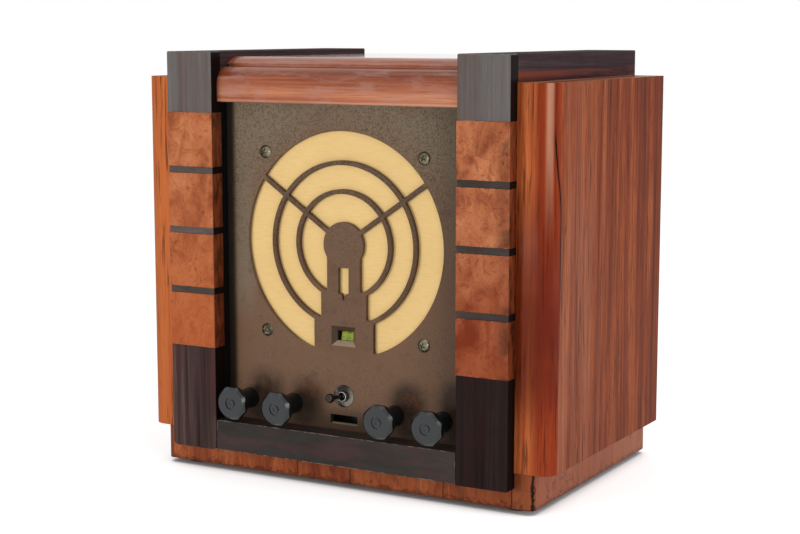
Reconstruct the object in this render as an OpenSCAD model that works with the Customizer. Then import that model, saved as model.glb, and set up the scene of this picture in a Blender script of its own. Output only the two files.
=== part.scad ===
// Table radio receiver in a veneered wooden cabinet, built as it comes apart on
// the bench. Millimetres. X runs to the right, Y into the cabinet, Z up. The
// origin is under the middle of the whole set, knobs included, on the surface
// that it stands on.

/* [Cabinet] */
// Width over the two front posts
body_w = 390; // [380:1:440]
// Depth from the face of the posts to the back of the plinth
body_d = 304; // [300:1:340]
// Height of the front posts
post_h = 410; // [405:1:450]
// Width of a front post and of the top rail behind it
post_w = 56; // [48:1:62]
// Thickness of the blocks that face the posts
post_t = 17; // [12:0.5:20]
// How far a side panel stands out beyond the posts
side_out = 38; // [24:1:50]
// How far a side panel's front is set back from the face of the posts
side_set = 14.5; // [6:0.5:16]
// Radius of a side panel's front corner
side_r = 16; // [6:1:22]
// Height of the top rails above the side panels
rail_h = 26; // [20:1:32]

/* [Posts] */
// Height of the dark head of a post
head_h = 61.5; // [50:0.5:75]
// Height of the dark foot of a post
foot_h = 107.5; // [95:0.5:120]
// Burr blocks in each post
blocks = 4; // [3:1:6]
// Height of a dark strip between two blocks
strip_h = 7; // [4:0.5:10]
// How far the dark pieces sit back behind the blocks
strip_set = 0.8; // [0.3:0.1:2]
// Rounding of the posts' upright edges
post_edge = 1.2; // [0.4:0.1:3]
// Rounding of the two upper corners of a post's head
head_round = 2.5; // [1:0.5:5]
// Rounding of the two lower corners of the left post's foot
foot_round_left = 6; // [1:0.5:9]
// Rounding of the two lower corners of the right post's foot
foot_round_right = 1; // [0.5:0.5:9]

/* [Plinth and rails] */
// Height of the pads under the plinth
pad_h = 5; // [3:0.5:10]
// Radius of a pad
pad_r = 14; // [8:1:20]
// Height of the plinth
plinth_h = 36; // [28:1:44]
// How far the posts hang down over the plinth's face
plinth_lap = 16; // [8:1:20]
// How far the plinth stands out beyond the posts at each side
plinth_out = 19.5; // [8:0.5:24]
// Thickness of the plinth's boards
plinth_t = 26; // [22:1:34]
// Rounding of the plinth's upright corners
plinth_r = 7; // [3:0.5:12]
// Height of the dark rail that joins the feet of the posts
low_rail_h = 31; // [26:1:40]
// How far the low rail sits back behind the posts
low_rail_set = 1.5; // [0.5:0.5:4]

/* [Top] */
// How far the top board lies below the rails
top_drop = 5.5; // [3:0.5:9]
// Height of the moulding over the front panel
mould_h = 45; // [40:1:56]
// How far the moulding's face is set back from the posts
mould_set = 10; // [4:0.5:14]
// Height of the flat at the foot of the moulding
mould_flat = 18; // [12:0.5:21]
// Radius of the moulding's large round
mould_r = 17; // [12:0.5:18]
// Depth of the moulding from front to back
mould_d = 38; // [34:1:46]
// Height of the moulding's upper small round
bead_h = 7; // [5:0.5:9]
// Depth of the groove between the two rounds
quirk = 2; // [1:0.5:3.5]
// Thickness of the board under the top
deck_t = 12; // [8:1:16]
// Thickness of the cabinet floor
floor_t = 10; // [8:1:14]

/* [Front panel] */
// Depth of the panel's face behind the posts
panel_set = 26; // [22:0.5:30]
// Thickness of the panel
panel_t = 4.2; // [3:0.2:6]
// How far the panel is lapped by the moulding and the low rail
panel_lap = 11; // [6:1:15]
// Radius of the round loudspeaker opening
grille_r = 113; // [104:1:116]
// Gap from the opening's top to the moulding
grille_gap = 26.5; // [18:0.5:32]
// Outer radius of the large ring in the opening
ring_big = 84; // [74:1:90]
// Outer radius of the small ring in the opening
ring_small = 55.5; // [44:0.5:62]
// Width of the rings and of the two slanting bars
bar_w = 4.5; // [3:0.5:7]
// Angle of the two slanting bars above level
bar_angle = 34.5; // [25:0.5:50]
// Radius of the disc in the middle
hub_r = 23; // [16:0.5:28]
// Half width of the pillar below the large ring
pillar_foot = 34.4; // [30:0.2:38]
// Half width of the pillar between the rings
pillar_mid = 26.2; // [22:0.2:29]
// Half width of the pillar inside the small ring
pillar_top = 19; // [14:0.5:21]
// Radius of the openings' corners beside the pillar
corner_r = 2; // [1:0.5:3]
// Width of the upright slot in the pillar
slit_w = 12; // [8:0.5:14]
// Height of the upright slot in the pillar
slit_h = 26; // [16:1:28]
// Radius of a panel screw's head
screw_head = 6.75; // [5:0.25:8]
// Half the width between the panel screws
screw_x = 91.4; // [88:0.2:96]
// Height of the upper panel screws above the opening's middle
screw_up = 89.5; // [87:0.5:96]
// Drop of the lower panel screws below the opening's middle
screw_down = 93; // [87:0.5:96]

/* [Dial] */
// Distance from the grille's middle down to the dial window
dial_drop = 92; // [90:0.5:94]
// Width of the dial window inside its bevel
window_w = 18; // [14:0.2:22]
// Height of the dial window inside its bevel
window_h = 9.6; // [5:0.2:10]
// Width of the bevel round the dial window
window_bevel = 5.2; // [2:0.2:6]
// Radius of the dial drum
drum_r = 34; // [30:0.5:34]
// Width of the dial drum
drum_w = 14; // [12:1:18]
// Height of the window above the drum's axis
drum_rise = 8; // [4:0.5:12]
// Gap between the panel's back and the drum's scale
drum_gap = 4; // [3.6:0.2:6]
// Radius of the wheel that the cord turns
wheel_r = 22.5; // [22.5:0.1:23.4]
// Turns of the tuning knob for one turn of the drum
drive_ratio = 6; // [5:0.5:6]

/* [Controls] */
// Height of the knobs' centres above the low rail
knob_rise = 22; // [20:0.5:26]
// Distance from a post to the centre of the nearest knob
knob_in = 26; // [22:0.5:30]
// Distance between the two knobs of a pair
knob_pitch = 53.6; // [44:0.2:58]
// Radius of a knob
knob_r = 17.5; // [14:0.5:19]
// Sides of a knob's rim
knob_sides = 8; // [6:2:10]
// Thickness of a knob's disc
knob_disc = 8; // [6:0.5:10]
// Distance from the panel to a knob's face
knob_reach = 37; // [28:0.5:42]
// Radius of a knob's neck
neck_r = 10.5; // [8:0.5:12]
// Radius of a control spindle
spindle_r = 3; // [2.5:0.25:3]
// Height of the toggle switch above the low rail
toggle_rise = 35.3; // [32:0.5:40]
// Radius of the toggle switch's plate
toggle_r = 11.5; // [9:0.5:14]
// Length of the toggle lever from its pivot to the middle of its ball
lever_l = 16; // [13:0.5:20]
// Radius of the lever's ball
ball_r = 4.8; // [3:0.2:5]
// Angle that the lever leans to each side
lever_lean = 24; // [12:1:26]
// Width of the slot under the toggle switch
slot_w = 31.4; // [24:0.2:36]
// Height of the slot under the toggle switch
slot_h = 9.4; // [6:0.2:11]
// Gap from the low rail up to the slot
slot_rise = 6; // [4:0.5:8]

/* [Loudspeaker] */
// Radius of the loudspeaker's flange
speaker_r = 90; // [80:1:94]
// Depth of the loudspeaker's basket
speaker_d = 50; // [44:1:56]
// Radius of the field magnet
magnet_r = 42; // [34:1:46]
// Length of the field magnet
magnet_l = 46; // [36:1:56]
// Thickness of the baffle board
baffle_t = 10; // [8:0.5:12]

/* [Chassis] */
// Gap between the chassis and the cabinet's rear battens
chassis_back = 5.8; // [3:0.1:12]
// Thickness of the chassis sheet
sheet = 1.5; // [1:0.1:2]
// Radius of a valve's glass
valve_r = 19; // [15:0.5:21]
// Height of a valve's glass above its base
valve_h = 78; // [60:1:90]
// Height of a coil can
can_h = 66; // [50:1:80]
// Radius of a coil can
can_r = 18; // [14:0.5:20]
// Rotor plates in each section of the tuning capacitor
vanes = 6; // [4:1:7]

/* [Back] */
// Thickness of the rear cover
cover_t = 3; // [2:0.5:5]
// Radius of a vent hole in the rear cover
vent_r = 5; // [3:0.5:7]
// Distance between vent holes
vent_pitch = 24; // [18:0.5:30]
// Radius of the bore of an aerial or earth socket
socket_r = 2; // [1.75:0.05:2.5]

/* [Hidden] */
$fn = 64;
// Clearances: pieces that lie against each other, a running fit and a loose hole
lay = 0.3;
run = 0.05;
loose = 0.4;

// Heights
z_post = pad_h + plinth_h - plinth_lap;
z_floor = pad_h + plinth_h;
z_top = z_post + post_h;
z_side = z_top - rail_h;
z_mould = z_top - top_drop - mould_h;
z_board = z_top - top_drop;
z_rail = z_post + low_rail_h + 1;
block_h = (post_h - head_h - foot_h - (blocks - 1) * strip_h) / blocks;
z_grille = z_mould - grille_gap - grille_r;
z_dial = z_grille - dial_drop;
z_knob = z_rail + knob_rise;
z_toggle = z_rail + toggle_rise;

// Depths, from the face of the posts at y_face
y_face = -(body_d - knob_reach + panel_set) / 2;
y_back = y_face + body_d;
y_post = y_face + post_t;
y_panel = y_face + panel_set;
y_panel2 = y_panel + panel_t;
y_cloth = y_panel2 + lay;
cloth_t = 0.6;
y_baffle = y_cloth + cloth_t + lay;
y_baffle2 = y_baffle + baffle_t;
y_side2 = y_back - post_t + 1;
batten_t = 12;
y_batten = y_side2 - batten_t;

// Widths
x_body = body_w / 2;
x_open = x_body - post_w;
x_plinth = x_body + plinth_out;
knob_out = x_open - knob_in;
knob_x = [-knob_out, -knob_out + knob_pitch, knob_out - knob_pitch, knob_out];
knob_face = y_panel - knob_reach;
ledge = 8;

// Dial drum and tuning capacitor share one shaft, along X
z_drum = z_dial - drum_rise;
y_drum = y_panel2 + drum_gap + sqrt(drum_r * drum_r - drum_rise * drum_rise);
shaft_r = 3;
drum_wall = 2;
scale_t = 0.3;
x_wheel = knob_x[1];
wheel_w = 6;
cord_r = 0.4;
pulley_r = wheel_r / drive_ratio;
cord_low = asin(wheel_r / (z_drum - z_knob));
gang_x0 = drum_w / 2 + 9;
cell = 30;
cells = 3;
gang_l = cells * cell + sheet;
vane_r = 24;
vane_t = 0.8;
vane_pitch = 4;
gang_y = 38;
frame_up = 16;
rod_r = 1.6;
rod_in = 6;
rod_up = 12;
bracket_at = 13;
bracket_up = 8;

// Chassis
chassis_set = 24;
deck_gap = 3.5;
z_deck = z_drum - drum_r - deck_gap;
y_chassis = y_panel2 + chassis_set;
y_chassis2 = y_batten - chassis_back;
chassis_d = y_chassis2 - y_chassis;
x_chassis = knob_out + 16;
z_stand = z_floor + floor_t;
cord_slope = (wheel_r * cos(cord_low) - pulley_r) / (z_drum - wheel_r * sin(cord_low) - z_knob);
cord_in = z_knob + (y_drum - y_chassis - sheet - pulley_r - 1) / cord_slope;
flange_w = 14;
bolt_r = 2.5;
bolt_in = 24;
wall_flange = 8;
service_x = x_chassis - flange_w - 15;
service_in = 20;

// Loudspeaker: as high above the dial drum as its flange needs
z_speaker = z_drum + drum_r - 5 + speaker_r + 1;
y_speaker = y_baffle2 + lay;
cone_r = speaker_r - 12;
flange_t = 2.5;
screw_r = 1.8;
screw_ring = speaker_r - 4.2;
pole_r = 10.6;
gap_r = 14.4;
gap_l = 12;

// Places of the pieces on the chassis deck: [x, distance from the chassis front].
// Two rows follow the back of the chassis
row_back = chassis_d - 38;
row_mid = row_back - 58;
valve_at = [[-88, row_mid - 2], [-88, row_back], [-36, row_back], [16, row_back], [88, row_mid - 20]];
can_at = [[-40, row_mid + 2], [6, row_mid + 2], [50, row_mid + 2]];
base_r = 15;
base_h = 32;
socket_h = 8;
core = [62, 52, 60];
core_at = [84, row_back - 4];
output_at = [-88, row_mid - 54];
output = [40, 32, 34];
block_at = [[-58, row_mid - 28, 26], [-20, row_mid - 28, 26], [34, row_mid + 8, 40]];

// Rear cover, in the rebate of the rear posts. It ends above the chassis, so
// that the sockets can be reached below it
cover_screw_r = 1.5;
cover_screw_l = 8;
cover_head_r = 4;
cover_x = x_open - lay;
cover_z0 = z_deck + 4;
cover_z1 = z_side - 3;
vent_cols = floor((cover_x - 22) / vent_pitch);
vent_rows = floor((cover_z1 - z_deck - 40) / vent_pitch);

// Bodies of the four controls: [radius, length behind the chassis front]
control = [[13, 14], [6.5, 5], [16, 32], [13, 14]];
bush_r = 4.7;
bush_l = 9;
bush_fit = spindle_r + run;
spindle_in = 11;

// Toggle switch: the lever swings on a pin across its bush
pivot_y = y_panel - 1;
pivot_r = 2.6;
pin_r = 0.7;
collar_r = 6;

// Sockets at the back
strip_at = -50;
socket_pitch = 20;
z_socket = z_stand + 28;
socket_l = 16;
socket_out = 11;
strip_t = 2.5;
strip_w = socket_pitch + 24;
strip_h2 = 18;
tube_r = socket_r + 1.2;

// A box from its lowest to its highest corner
module box(lo, hi) translate(lo) cube(hi - lo);

// Round bars along Y and along X
module bar_y(r, y0, y1, x = 0, z = 0) translate([x, y0, z]) rotate([-90, 0, 0]) cylinder(r = r, h = y1 - y0);
module bar_x(r, x0, x1, y = 0, z = 0) translate([x0, y, z]) rotate([0, 90, 0]) cylinder(r = r, h = x1 - x0);

// A flat shape in Y and Z drawn out along X, and one in X and Z drawn out along Y
module along_x(x0, x1) translate([x0, 0, 0]) rotate([90, 0, 90]) linear_extrude(x1 - x0) children();
module along_y(y0, y1) translate([0, y1, 0]) rotate([90, 0, 0]) linear_extrude(y1 - y0) children();

// A flat rectangle from corner to corner
module rect(x0, y0, x1, y1) translate([x0, y0]) square([x1 - x0, y1 - y0]);

// A rectangle with round corners
module round_rect(x0, y0, x1, y1, r) {
    rect(x0 + r, y0, x1 - r, y1);
    rect(x0, y0 + r, x1, y1 - r);
    for (x = [x0 + r, x1 - r], y = [y0 + r, y1 - r]) translate([x, y]) circle(r);
}

// An upright piece of a post, set back by s, from z0 to z1, at the left (-1) or right (1)
module post_piece(side, z0, z1, s) {
    translate([side * (x_open + x_body) / 2, 0, z0]) linear_extrude(z1 - z0) intersection() {
        round_rect(-post_w / 2 + s / 2, y_face + s, post_w / 2 - s / 2, y_post + 2 * post_edge, post_edge);
        rect(-post_w, y_face, post_w, y_post);
    }
}

// A post's outline from the front, with round corners
module post_outline(side, z0, z1, r) along_y(y_face - 1, y_post + 1) translate([side * (x_open + x_body) / 2, 0])
    round_rect(strip_set / 2 - post_w / 2, z0, post_w / 2 - strip_set / 2, z1, r);

// Height of the foot of block i
function block_z(i) = z_post + foot_h + i * (block_h + strip_h);

// The four corners of a rectangle, for pads, screws and bolts
module at_corners(x, y) for (sx = [-1, 1], sy = [-1, 1]) translate([sx * x, sy * y, 0]) children();

module feet() color("#2b2826")
    translate([0, (y_post + y_back) / 2, 0])
        at_corners(x_plinth - plinth_t, (y_back - y_post) / 2 - plinth_t)
            cylinder(r = pad_r, h = pad_h);

// Four boards glued and veneered as one frame, with round upright corners
module plinth() color("#9a5530") translate([0, 0, pad_h]) {
    linear_extrude(plinth_h) difference() {
        round_rect(-x_plinth, y_post, x_plinth, y_back, plinth_r);
        rect(-x_plinth + plinth_t, y_post + plinth_t, x_plinth - plinth_t, y_back - plinth_t);
    }
}

// Floor, cut out under the chassis so that its underside can be reached
module cabinet_floor() color("#b08a5c") difference() {
    box([-x_body, y_baffle, z_floor], [x_body, y_side2, z_stand]);
    box([-service_x, y_chassis + service_in, z_floor - 1], [service_x, y_chassis2 - service_in, z_stand + 1]);
    for_bolts() translate([0, 0, z_floor - 1]) cylinder(r = bolt_r + loose, h = floor_t + 2);
}

// A side panel: thick core with a round front corner, standing over the plinth
module side_panel(side) color("#9c5b3f") translate([0, 0, z_floor]) linear_extrude(z_side - z_floor)
    mirror([side < 0 ? 1 : 0, 0]) difference() {
        union() {
            rect(x_body, y_face + side_set, x_body + side_out - side_r, y_side2);
            rect(x_body, y_face + side_set + side_r, x_body + side_out, y_side2);
            translate([x_body + side_out - side_r, y_face + side_set + side_r]) circle(side_r);
        }
        rect(x_body - side_r * 2, y_face - 1, x_body, y_back);
    }
module side_panel_left() side_panel(-1);
module side_panel_right() side_panel(1);

// Black stiles behind the posts
module front_stiles() color("#1c1917") for (s = [-1, 1]) mirror([s < 0 ? 1 : 0, 0, 0])
    box([x_open + lay, y_post, z_floor], [x_body, y_baffle, z_side]);

module post_heads() color("#33292a") for (s = [-1, 1]) intersection() {
    post_piece(s, z_top - head_h, z_top, strip_set);
    post_outline(s, z_top - head_h - 2 * head_round, z_top, head_round);
}
module post_feet() color("#33292a") for (s = [-1, 1]) intersection() {
    r = s < 0 ? foot_round_left : foot_round_right;
    post_piece(s, z_post, z_post + foot_h, strip_set);
    post_outline(s, z_post, z_post + foot_h + 2 * r, r);
}
module post_blocks(side) color("#b8703f") for (i = [0 : blocks - 1])
    post_piece(side, block_z(i), block_z(i) + block_h, 0);
module post_blocks_left() post_blocks(-1);
module post_blocks_right() post_blocks(1);
module post_strips() color("#33292a") for (s = [-1, 1], i = [1 : blocks - 1])
    post_piece(s, block_z(i) - strip_h, block_z(i), strip_set * 1.5);

// The low rail laps over the plinth's face and runs back to the panel
module bottom_rail() color("#3a2d2c") along_x(-x_open, x_open) {
    rect(y_face + low_rail_set, z_post + 1, y_post, z_rail);
    rect(y_face + low_rail_set, z_floor, y_panel - lay, z_rail);
}

// Cornice over the panel: a flat, a large round, a groove and a small round
module top_moulding() color("#a5603c") along_x(-x_open, x_open) {
    y0 = y_face + mould_set;
    y1 = y0 + mould_d;
    z1 = z_mould + mould_flat;
    z2 = z1 + mould_r;
    bead_r = (pow(mould_d - mould_r - quirk, 2) + bead_h * bead_h) / (2 * bead_h);
    difference() {
        union() {
            rect(y0, z_mould, y1, z1);
            rect(y0 + mould_r, z1 - 1, y1, z2);
            translate([y0 + mould_r, z1]) circle(mould_r);
            rect(y0 + mould_r + 2 * quirk, z2 - 1, y1, z_board - bead_h);
            intersection() {
                translate([y1, z_board - bead_r]) circle(bead_r, $fn = 128);
                rect(y0 + mould_r + quirk, z_board - bead_h, y1, z_board);
            }
        }
        rect(y_panel - lay, z_mould - 1, y1 + 1, z_side);
    }
}

module top_board() color("#9a5836")
    box([-x_open, y_face + mould_set + mould_d, z_side], [x_open, y_back, z_board]);

module carcass_top() color("#b08a5c")
    box([-x_body, y_baffle, z_side - deck_t], [x_body, y_side2, z_side]);

// Dark rail along the top, from the head of the post to the back
module top_rail(side) color("#33292a") along_y(y_post, y_back) intersection() {
    round_rect(side * (x_open + x_body) / 2 - post_w / 2 + strip_set / 2, z_side - 2 * post_edge,
        side * (x_open + x_body) / 2 + post_w / 2 - strip_set / 2, z_top, post_edge);
    rect(-x_body, z_side, x_body, z_top);
}
module top_rails() for (side = [-1, 1]) top_rail(side);

// Rear posts with a rebate that the rear cover lies in
module rear_posts() color("#33292a") for (s = [-1, 1]) mirror([s < 0 ? 1 : 0, 0, 0]) difference() {
    union() {
        box([x_open, y_side2, z_floor], [x_body - strip_set / 2, y_back, z_side]);
        box([x_open - ledge, y_batten, z_stand], [x_body, y_side2, z_side - deck_t]);
    }
    cover_screw_places() bar_y(cover_screw_r + 0.1, y_side2 - cover_screw_l - 1, y_side2 + 1);
}

// Places of the cover's screws along its two edges
module cover_screw_places() for (s = [-1, 1], i = [0 : 3])
    translate([s * (x_open - ledge / 2 - 0.5), 0, cover_z0 + 26 + i * (cover_z1 - cover_z0 - 52) / 3]) children();

module rear_cover() color("#8a6a48") difference() {
    along_y(y_side2 + lay, y_side2 + lay + cover_t) difference() {
        round_rect(-cover_x, cover_z0, cover_x, cover_z1, 4);
        for (i = [-vent_cols : vent_cols], j = [0 : vent_rows])
            translate([i * vent_pitch, cover_z1 - 26 - j * vent_pitch]) circle(vent_r);
    }
    cover_screw_places() bar_y(cover_screw_r + loose, y_side2 - 1, y_back);
}

module rear_cover_screws() color("#8c8478") cover_screw_places() difference() {
    union() {
        bar_y(cover_screw_r, y_side2 - cover_screw_l, y_side2 + lay + cover_t + 0.5);
        translate([0, y_side2 + 2 * lay + cover_t, 0]) intersection() {
            translate([0, -cover_head_r / 2, 0]) sphere(1.05 * cover_head_r);
            bar_y(cover_head_r, 0, cover_head_r);
        }
    }
    box([-0.5, y_side2 + cover_t + 1.6, -5], [0.5, y_back, 5]);
}

// The bars that cross the round opening, as one flat shape
module grille_bars() {
    for (r = [ring_big, ring_small]) difference() {
        circle(r, $fn = 128);
        circle(r - bar_w, $fn = 128);
    }
    for (a = [bar_angle, 180 - bar_angle]) rotate(a) rect(0, -bar_w / 2, grille_r + 2, bar_w / 2);
    circle(hub_r);
    rect(-pillar_foot, -grille_r - 2, pillar_foot, bar_w / 2 - sqrt(pow(ring_big, 2) - pow(pillar_foot, 2)));
    rect(-pillar_mid, -ring_big, pillar_mid, bar_w / 2 - sqrt(pow(ring_small, 2) - pow(pillar_mid, 2)));
    rect(-pillar_top, -ring_small, pillar_top, 0);
    for (m = [0, 1]) mirror([m, 0]) {
        corner_fill(pillar_top, ring_small - bar_w, -1);
        corner_fill(pillar_mid, ring_small, 1);
        corner_fill(pillar_mid, ring_big - bar_w, -1);
        corner_fill(pillar_foot, ring_big, 1);
        corner_fill(pillar_foot, grille_r, -1);
    }
}

// Rounds the corner between the pillar's side at x = p and the circle of radius r:
// s is -1 where the opening lies inside the circle and 1 where it lies outside.
// The round's centre is k from both, a little less than its radius
module corner_fill(p, r, s) {
    k = 0.98 * corner_r;
    c = [p + k, -sqrt(pow(r + s * k, 2) - pow(p + k, 2))];
    difference() {
        polygon([[p - 0.5, c[1]], c, c * (r - s * 0.5) / (r + s * k), [p - 0.5, s * 0.5 - sqrt(r * r - p * p)]]);
        translate(c) circle(corner_r);
    }
}

// A rectangular window whose bevel opens towards the front by b on every side
module bevelled_window(w, h, b) intersection() {
    along_x(-w / 2 - b, w / 2 + b) polygon([[y_panel - 0.01, -h / 2 - b], [y_panel2 + 0.01, -h / 2],
        [y_panel2 + 0.01, h / 2], [y_panel - 0.01, h / 2 + b]]);
    translate([0, 0, -h / 2 - b]) linear_extrude(h + 2 * b) polygon([[-w / 2 - b, y_panel - 0.01],
        [w / 2 + b, y_panel - 0.01], [w / 2, y_panel2 + 0.01], [-w / 2, y_panel2 + 0.01]]);
}

// Places of the four panel screws
module panel_screw_places() for (s = [-1, 1], z = [z_grille + screw_up, z_grille - screw_down])
    translate([s * screw_x, 0, z]) children();

module front_panel() color("#5b4a40") difference() {
    along_y(y_panel, y_panel2) difference() {
        rect(-x_open + lay, z_floor + 4, x_open - lay, z_mould + panel_lap);
        translate([0, z_grille]) difference() {
            circle(grille_r, $fn = 128);
            grille_bars();
        }
        translate([0, z_grille - hub_r - slit_h / 2]) {
            rect(-slit_w / 2, -slit_h / 2, slit_w / 2, slit_h / 2);
            polygon([[-slit_w / 4, -slit_h / 2 + 0.1], [slit_w / 4, -slit_h / 2 + 0.1], [0, -slit_h / 2 - 7]]);
        }
    }
    translate([0, 0, z_dial]) bevelled_window(window_w, window_h, window_bevel);
    translate([0, 0, z_rail + slot_rise + slot_h / 2]) bevelled_window(slot_w - 2, slot_h - 2, 1);
    panel_screw_places() bar_y(2.9, y_panel - 1, y_panel2 + 1);
    for (x = knob_x) bar_y(spindle_r + 2.5, y_panel - 1, y_panel2 + 1, x, z_knob);
    bar_y(bush_r + loose, y_panel - 1, y_panel2 + 1, 0, z_toggle);
}

// Oval heads with a cross, on shanks that bite into the baffle
module panel_screws() color("#3a2f26") panel_screw_places() difference() {
    union() {
        bar_y(2.5, y_panel - 1, y_baffle2 - 1);
        intersection() {
            translate([0, y_panel + 4.4, 0]) sphere(8.1);
            bar_y(screw_head, y_panel - 5, y_panel);
        }
    }
    for (a = [20, 110]) rotate([0, a, 0]) box([-4.2, y_panel - 5, -0.7], [4.2, y_panel - 2.6, 0.7]);
}

module speaker_cloth() color("#e8cf92") along_y(y_cloth, y_cloth + cloth_t) difference() {
    translate([0, z_grille]) circle(grille_r + 5, $fn = 128);
    rect(-window_w, 0, window_w, z_dial + 20);
}

module baffle_board() color("#a9835a") difference() {
    along_y(y_baffle, y_baffle2) difference() {
        rect(-x_open - 22, z_dial - 13, x_open + 22, z_side - deck_t - 2);
        translate([0, z_speaker]) circle(cone_r + 2, $fn = 128);
        rect(-drum_w / 2 - 4, 0, drum_w / 2 + 4, z_drum + drum_r - 2);
    }
    panel_screw_places() bar_y(2.6, y_baffle - 1, y_baffle2 + 1);
    speaker_screw_places() bar_y(screw_r + 0.1, y_baffle - 1, y_baffle2 + 1);
}

module speaker_screw_places() for (a = [45 : 90 : 315])
    translate([screw_ring * cos(a), 0, z_speaker + screw_ring * sin(a)]) children();

// Turns a flat outline of [radius, depth] about the loudspeaker's axis
module about_axis(y) translate([0, y, z_speaker]) rotate([-90, 0, 0]) rotate_extrude() children();

// Pressed basket: flange, tapering wall with windows, and a seat for the magnet
module speaker_basket() color("#2c2c2e") difference() {
    about_axis(y_speaker) polygon([[cone_r + 2, 0], [speaker_r, 0], [speaker_r, flange_t], [cone_r + 4, flange_t],
        [magnet_r - 2.5, speaker_d - 2], [magnet_r - 2.5, speaker_d],
        [17, speaker_d], [17, speaker_d - 2], [magnet_r - 6, speaker_d - 2], [cone_r + 2, flange_t]]);
    translate([0, 0, z_speaker]) for (a = [0 : 60 : 300]) rotate([0, a + 30, 0])
        box([-11, y_speaker + 12, magnet_r], [11, y_speaker + speaker_d - 7, speaker_r]);
    speaker_screw_places() bar_y(screw_r + loose, y_speaker - 1, y_speaker + flange_t + 1);
}

// Paper cone with its rolled edge, cap and coil former
module speaker_cone() color("#3b3733") about_axis(y_speaker) {
    polygon([[cone_r + 1.6, 2.8 - 2.6], [cone_r + 1.6, 3.4 - 2.6], [cone_r - 3, 4.6 - 2.6],
        [13, speaker_d - 9], [13, speaker_d + 6], [12.2, speaker_d + 6],
        [12.2, speaker_d - 10], [cone_r - 3.4, 3.4 - 2.6]]);
    polygon([[0, speaker_d - 14], [7, speaker_d - 13], [12.4, speaker_d - 10], [12.4, speaker_d - 9],
        [7, speaker_d - 12], [0, speaker_d - 13]]);
}

// Field magnet: pot with a centre pole and a ring gap for the coil
module speaker_magnet() color("#4a4d52") about_axis(y_speaker + speaker_d + lay) polygon([[0, 0], [pole_r, 0],
    [pole_r, gap_l], [gap_r, gap_l], [gap_r, 0], [magnet_r - 5, 0], [magnet_r, 5], [magnet_r, magnet_l],
    [magnet_r - 3, magnet_l + 3], [0, magnet_l + 3]]);

module speaker_screws() color("#8c8478") speaker_screw_places() {
    bar_y(screw_r, y_baffle2 - 0.7 * baffle_t, y_speaker + flange_t + lay + 0.5);
    bar_y(1.8 * screw_r, y_speaker + flange_t + lay, y_speaker + 2 * flange_t);
}

module for_bolts() for (sx = [-1, 1], y = [y_chassis + bolt_in, y_chassis2 - bolt_in])
    translate([sx * (x_chassis - flange_w / 2), y, 0]) children();

// Deck of the chassis: flat plate, pierced for the valves and the drive cord
module chassis() color("#8f9296") difference() {
    box([-x_chassis, y_chassis, z_deck - sheet], [x_chassis, y_chassis2, z_deck]);
    cord_way();
    for (p = valve_at) translate([p[0], y_chassis + p[1], z_deck - sheet - 1]) cylinder(r = base_r - 3, h = 5);
}

// Way for the two runs of the drive cord, open at the front, as deep as the
// front run stays inside the front wall
module cord_way() box([x_wheel - 5, y_chassis - 1, min(cord_in, z_deck - 2 * sheet - 2)],
    [x_wheel + 5, y_drum + pulley_r + cord_slope * (z_deck - z_knob) + 4, z_deck + 1]);

// Front or back wall of the chassis, with a flange that is welded under the deck
module flanged_wall() {
    box([-x_chassis, 0, z_stand], [x_chassis, sheet, z_deck - sheet - lay]);
    box([flange_w + lay - x_chassis, 0, z_deck - 2 * sheet - lay],
        [x_chassis - flange_w - lay, wall_flange, z_deck - sheet - lay]);
}

// Walls of the chassis: the front one carries the controls and the back one has
// a window for the socket strip, and the two ends are also bolted to the floor
module chassis_walls() color("#8f9296") {
    difference() {
        translate([0, y_chassis, 0]) flanged_wall();
        for (x = knob_x) bar_y(bush_r + run, y_chassis - 1, y_chassis + sheet + 1, x, z_knob);
        cord_way();
    }
    difference() {
        translate([0, y_chassis2, 0]) mirror([0, 1, 0]) flanged_wall();
        box([strip_at - strip_w / 2 + 4, y_chassis2 - sheet - 1, z_socket - strip_h2 / 2 + 3],
            [strip_at + strip_w / 2 - 4, y_chassis2 + 1, z_socket + strip_h2 / 2 - 3]);
    }
    for (s = [-1, 1]) mirror([s < 0 ? 1 : 0, 0, 0]) difference() {
        along_y(y_chassis + sheet + lay, y_chassis2 - sheet - lay) difference() {
            rect(x_chassis - flange_w, z_stand, x_chassis, z_deck - sheet - lay);
            rect(x_chassis - flange_w - 1, z_stand + sheet, x_chassis - sheet, z_deck - 2 * sheet - lay);
        }
        for_bolts() translate([0, 0, z_stand - 1]) cylinder(r = bolt_r + loose, h = sheet + 2);
    }
}

// Bolts up through the floor, each with its nut
module chassis_bolts() color("#8c8478") for_bolts() {
    translate([0, 0, z_floor - 3.3]) cylinder(r = 5, h = 3);
    translate([0, 0, z_floor - 1]) cylinder(r = bolt_r, h = floor_t + sheet + 6);
    translate([0, 0, z_stand + sheet + lay]) cylinder(r = 4.6, h = 3.5, $fn = 6);
}

module transformer_core() color("#55524f") translate([core_at[0], y_chassis + core_at[1], z_deck]) 
    box([-core[0] / 2, -core[1] / 4, 0], [core[0] / 2, core[1] / 4, core[2]]);

// A shroud on each side of the core, drawn in towards its outer face
module transformer_shrouds() color("#3c3f42") translate([core_at[0], y_chassis + core_at[1], z_deck]) for (s = [-1, 1])
    mirror([0, s < 0 ? 1 : 0, 0]) intersection() {
        along_x(-core[0] / 2 + 3, core[0] / 2 - 3) polygon([[core[1] / 4, 2], [core[1] / 4, core[2] - 2],
            [core[1] / 2, core[2] - 9], [core[1] / 2, 9]]);
        linear_extrude(core[2]) polygon([[-core[0] / 2 + 3, core[1] / 4], [core[0] / 2 - 3, core[1] / 4],
            [core[0] / 2 - 10, core[1] / 2], [-core[0] / 2 + 10, core[1] / 2]]);
    }

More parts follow.
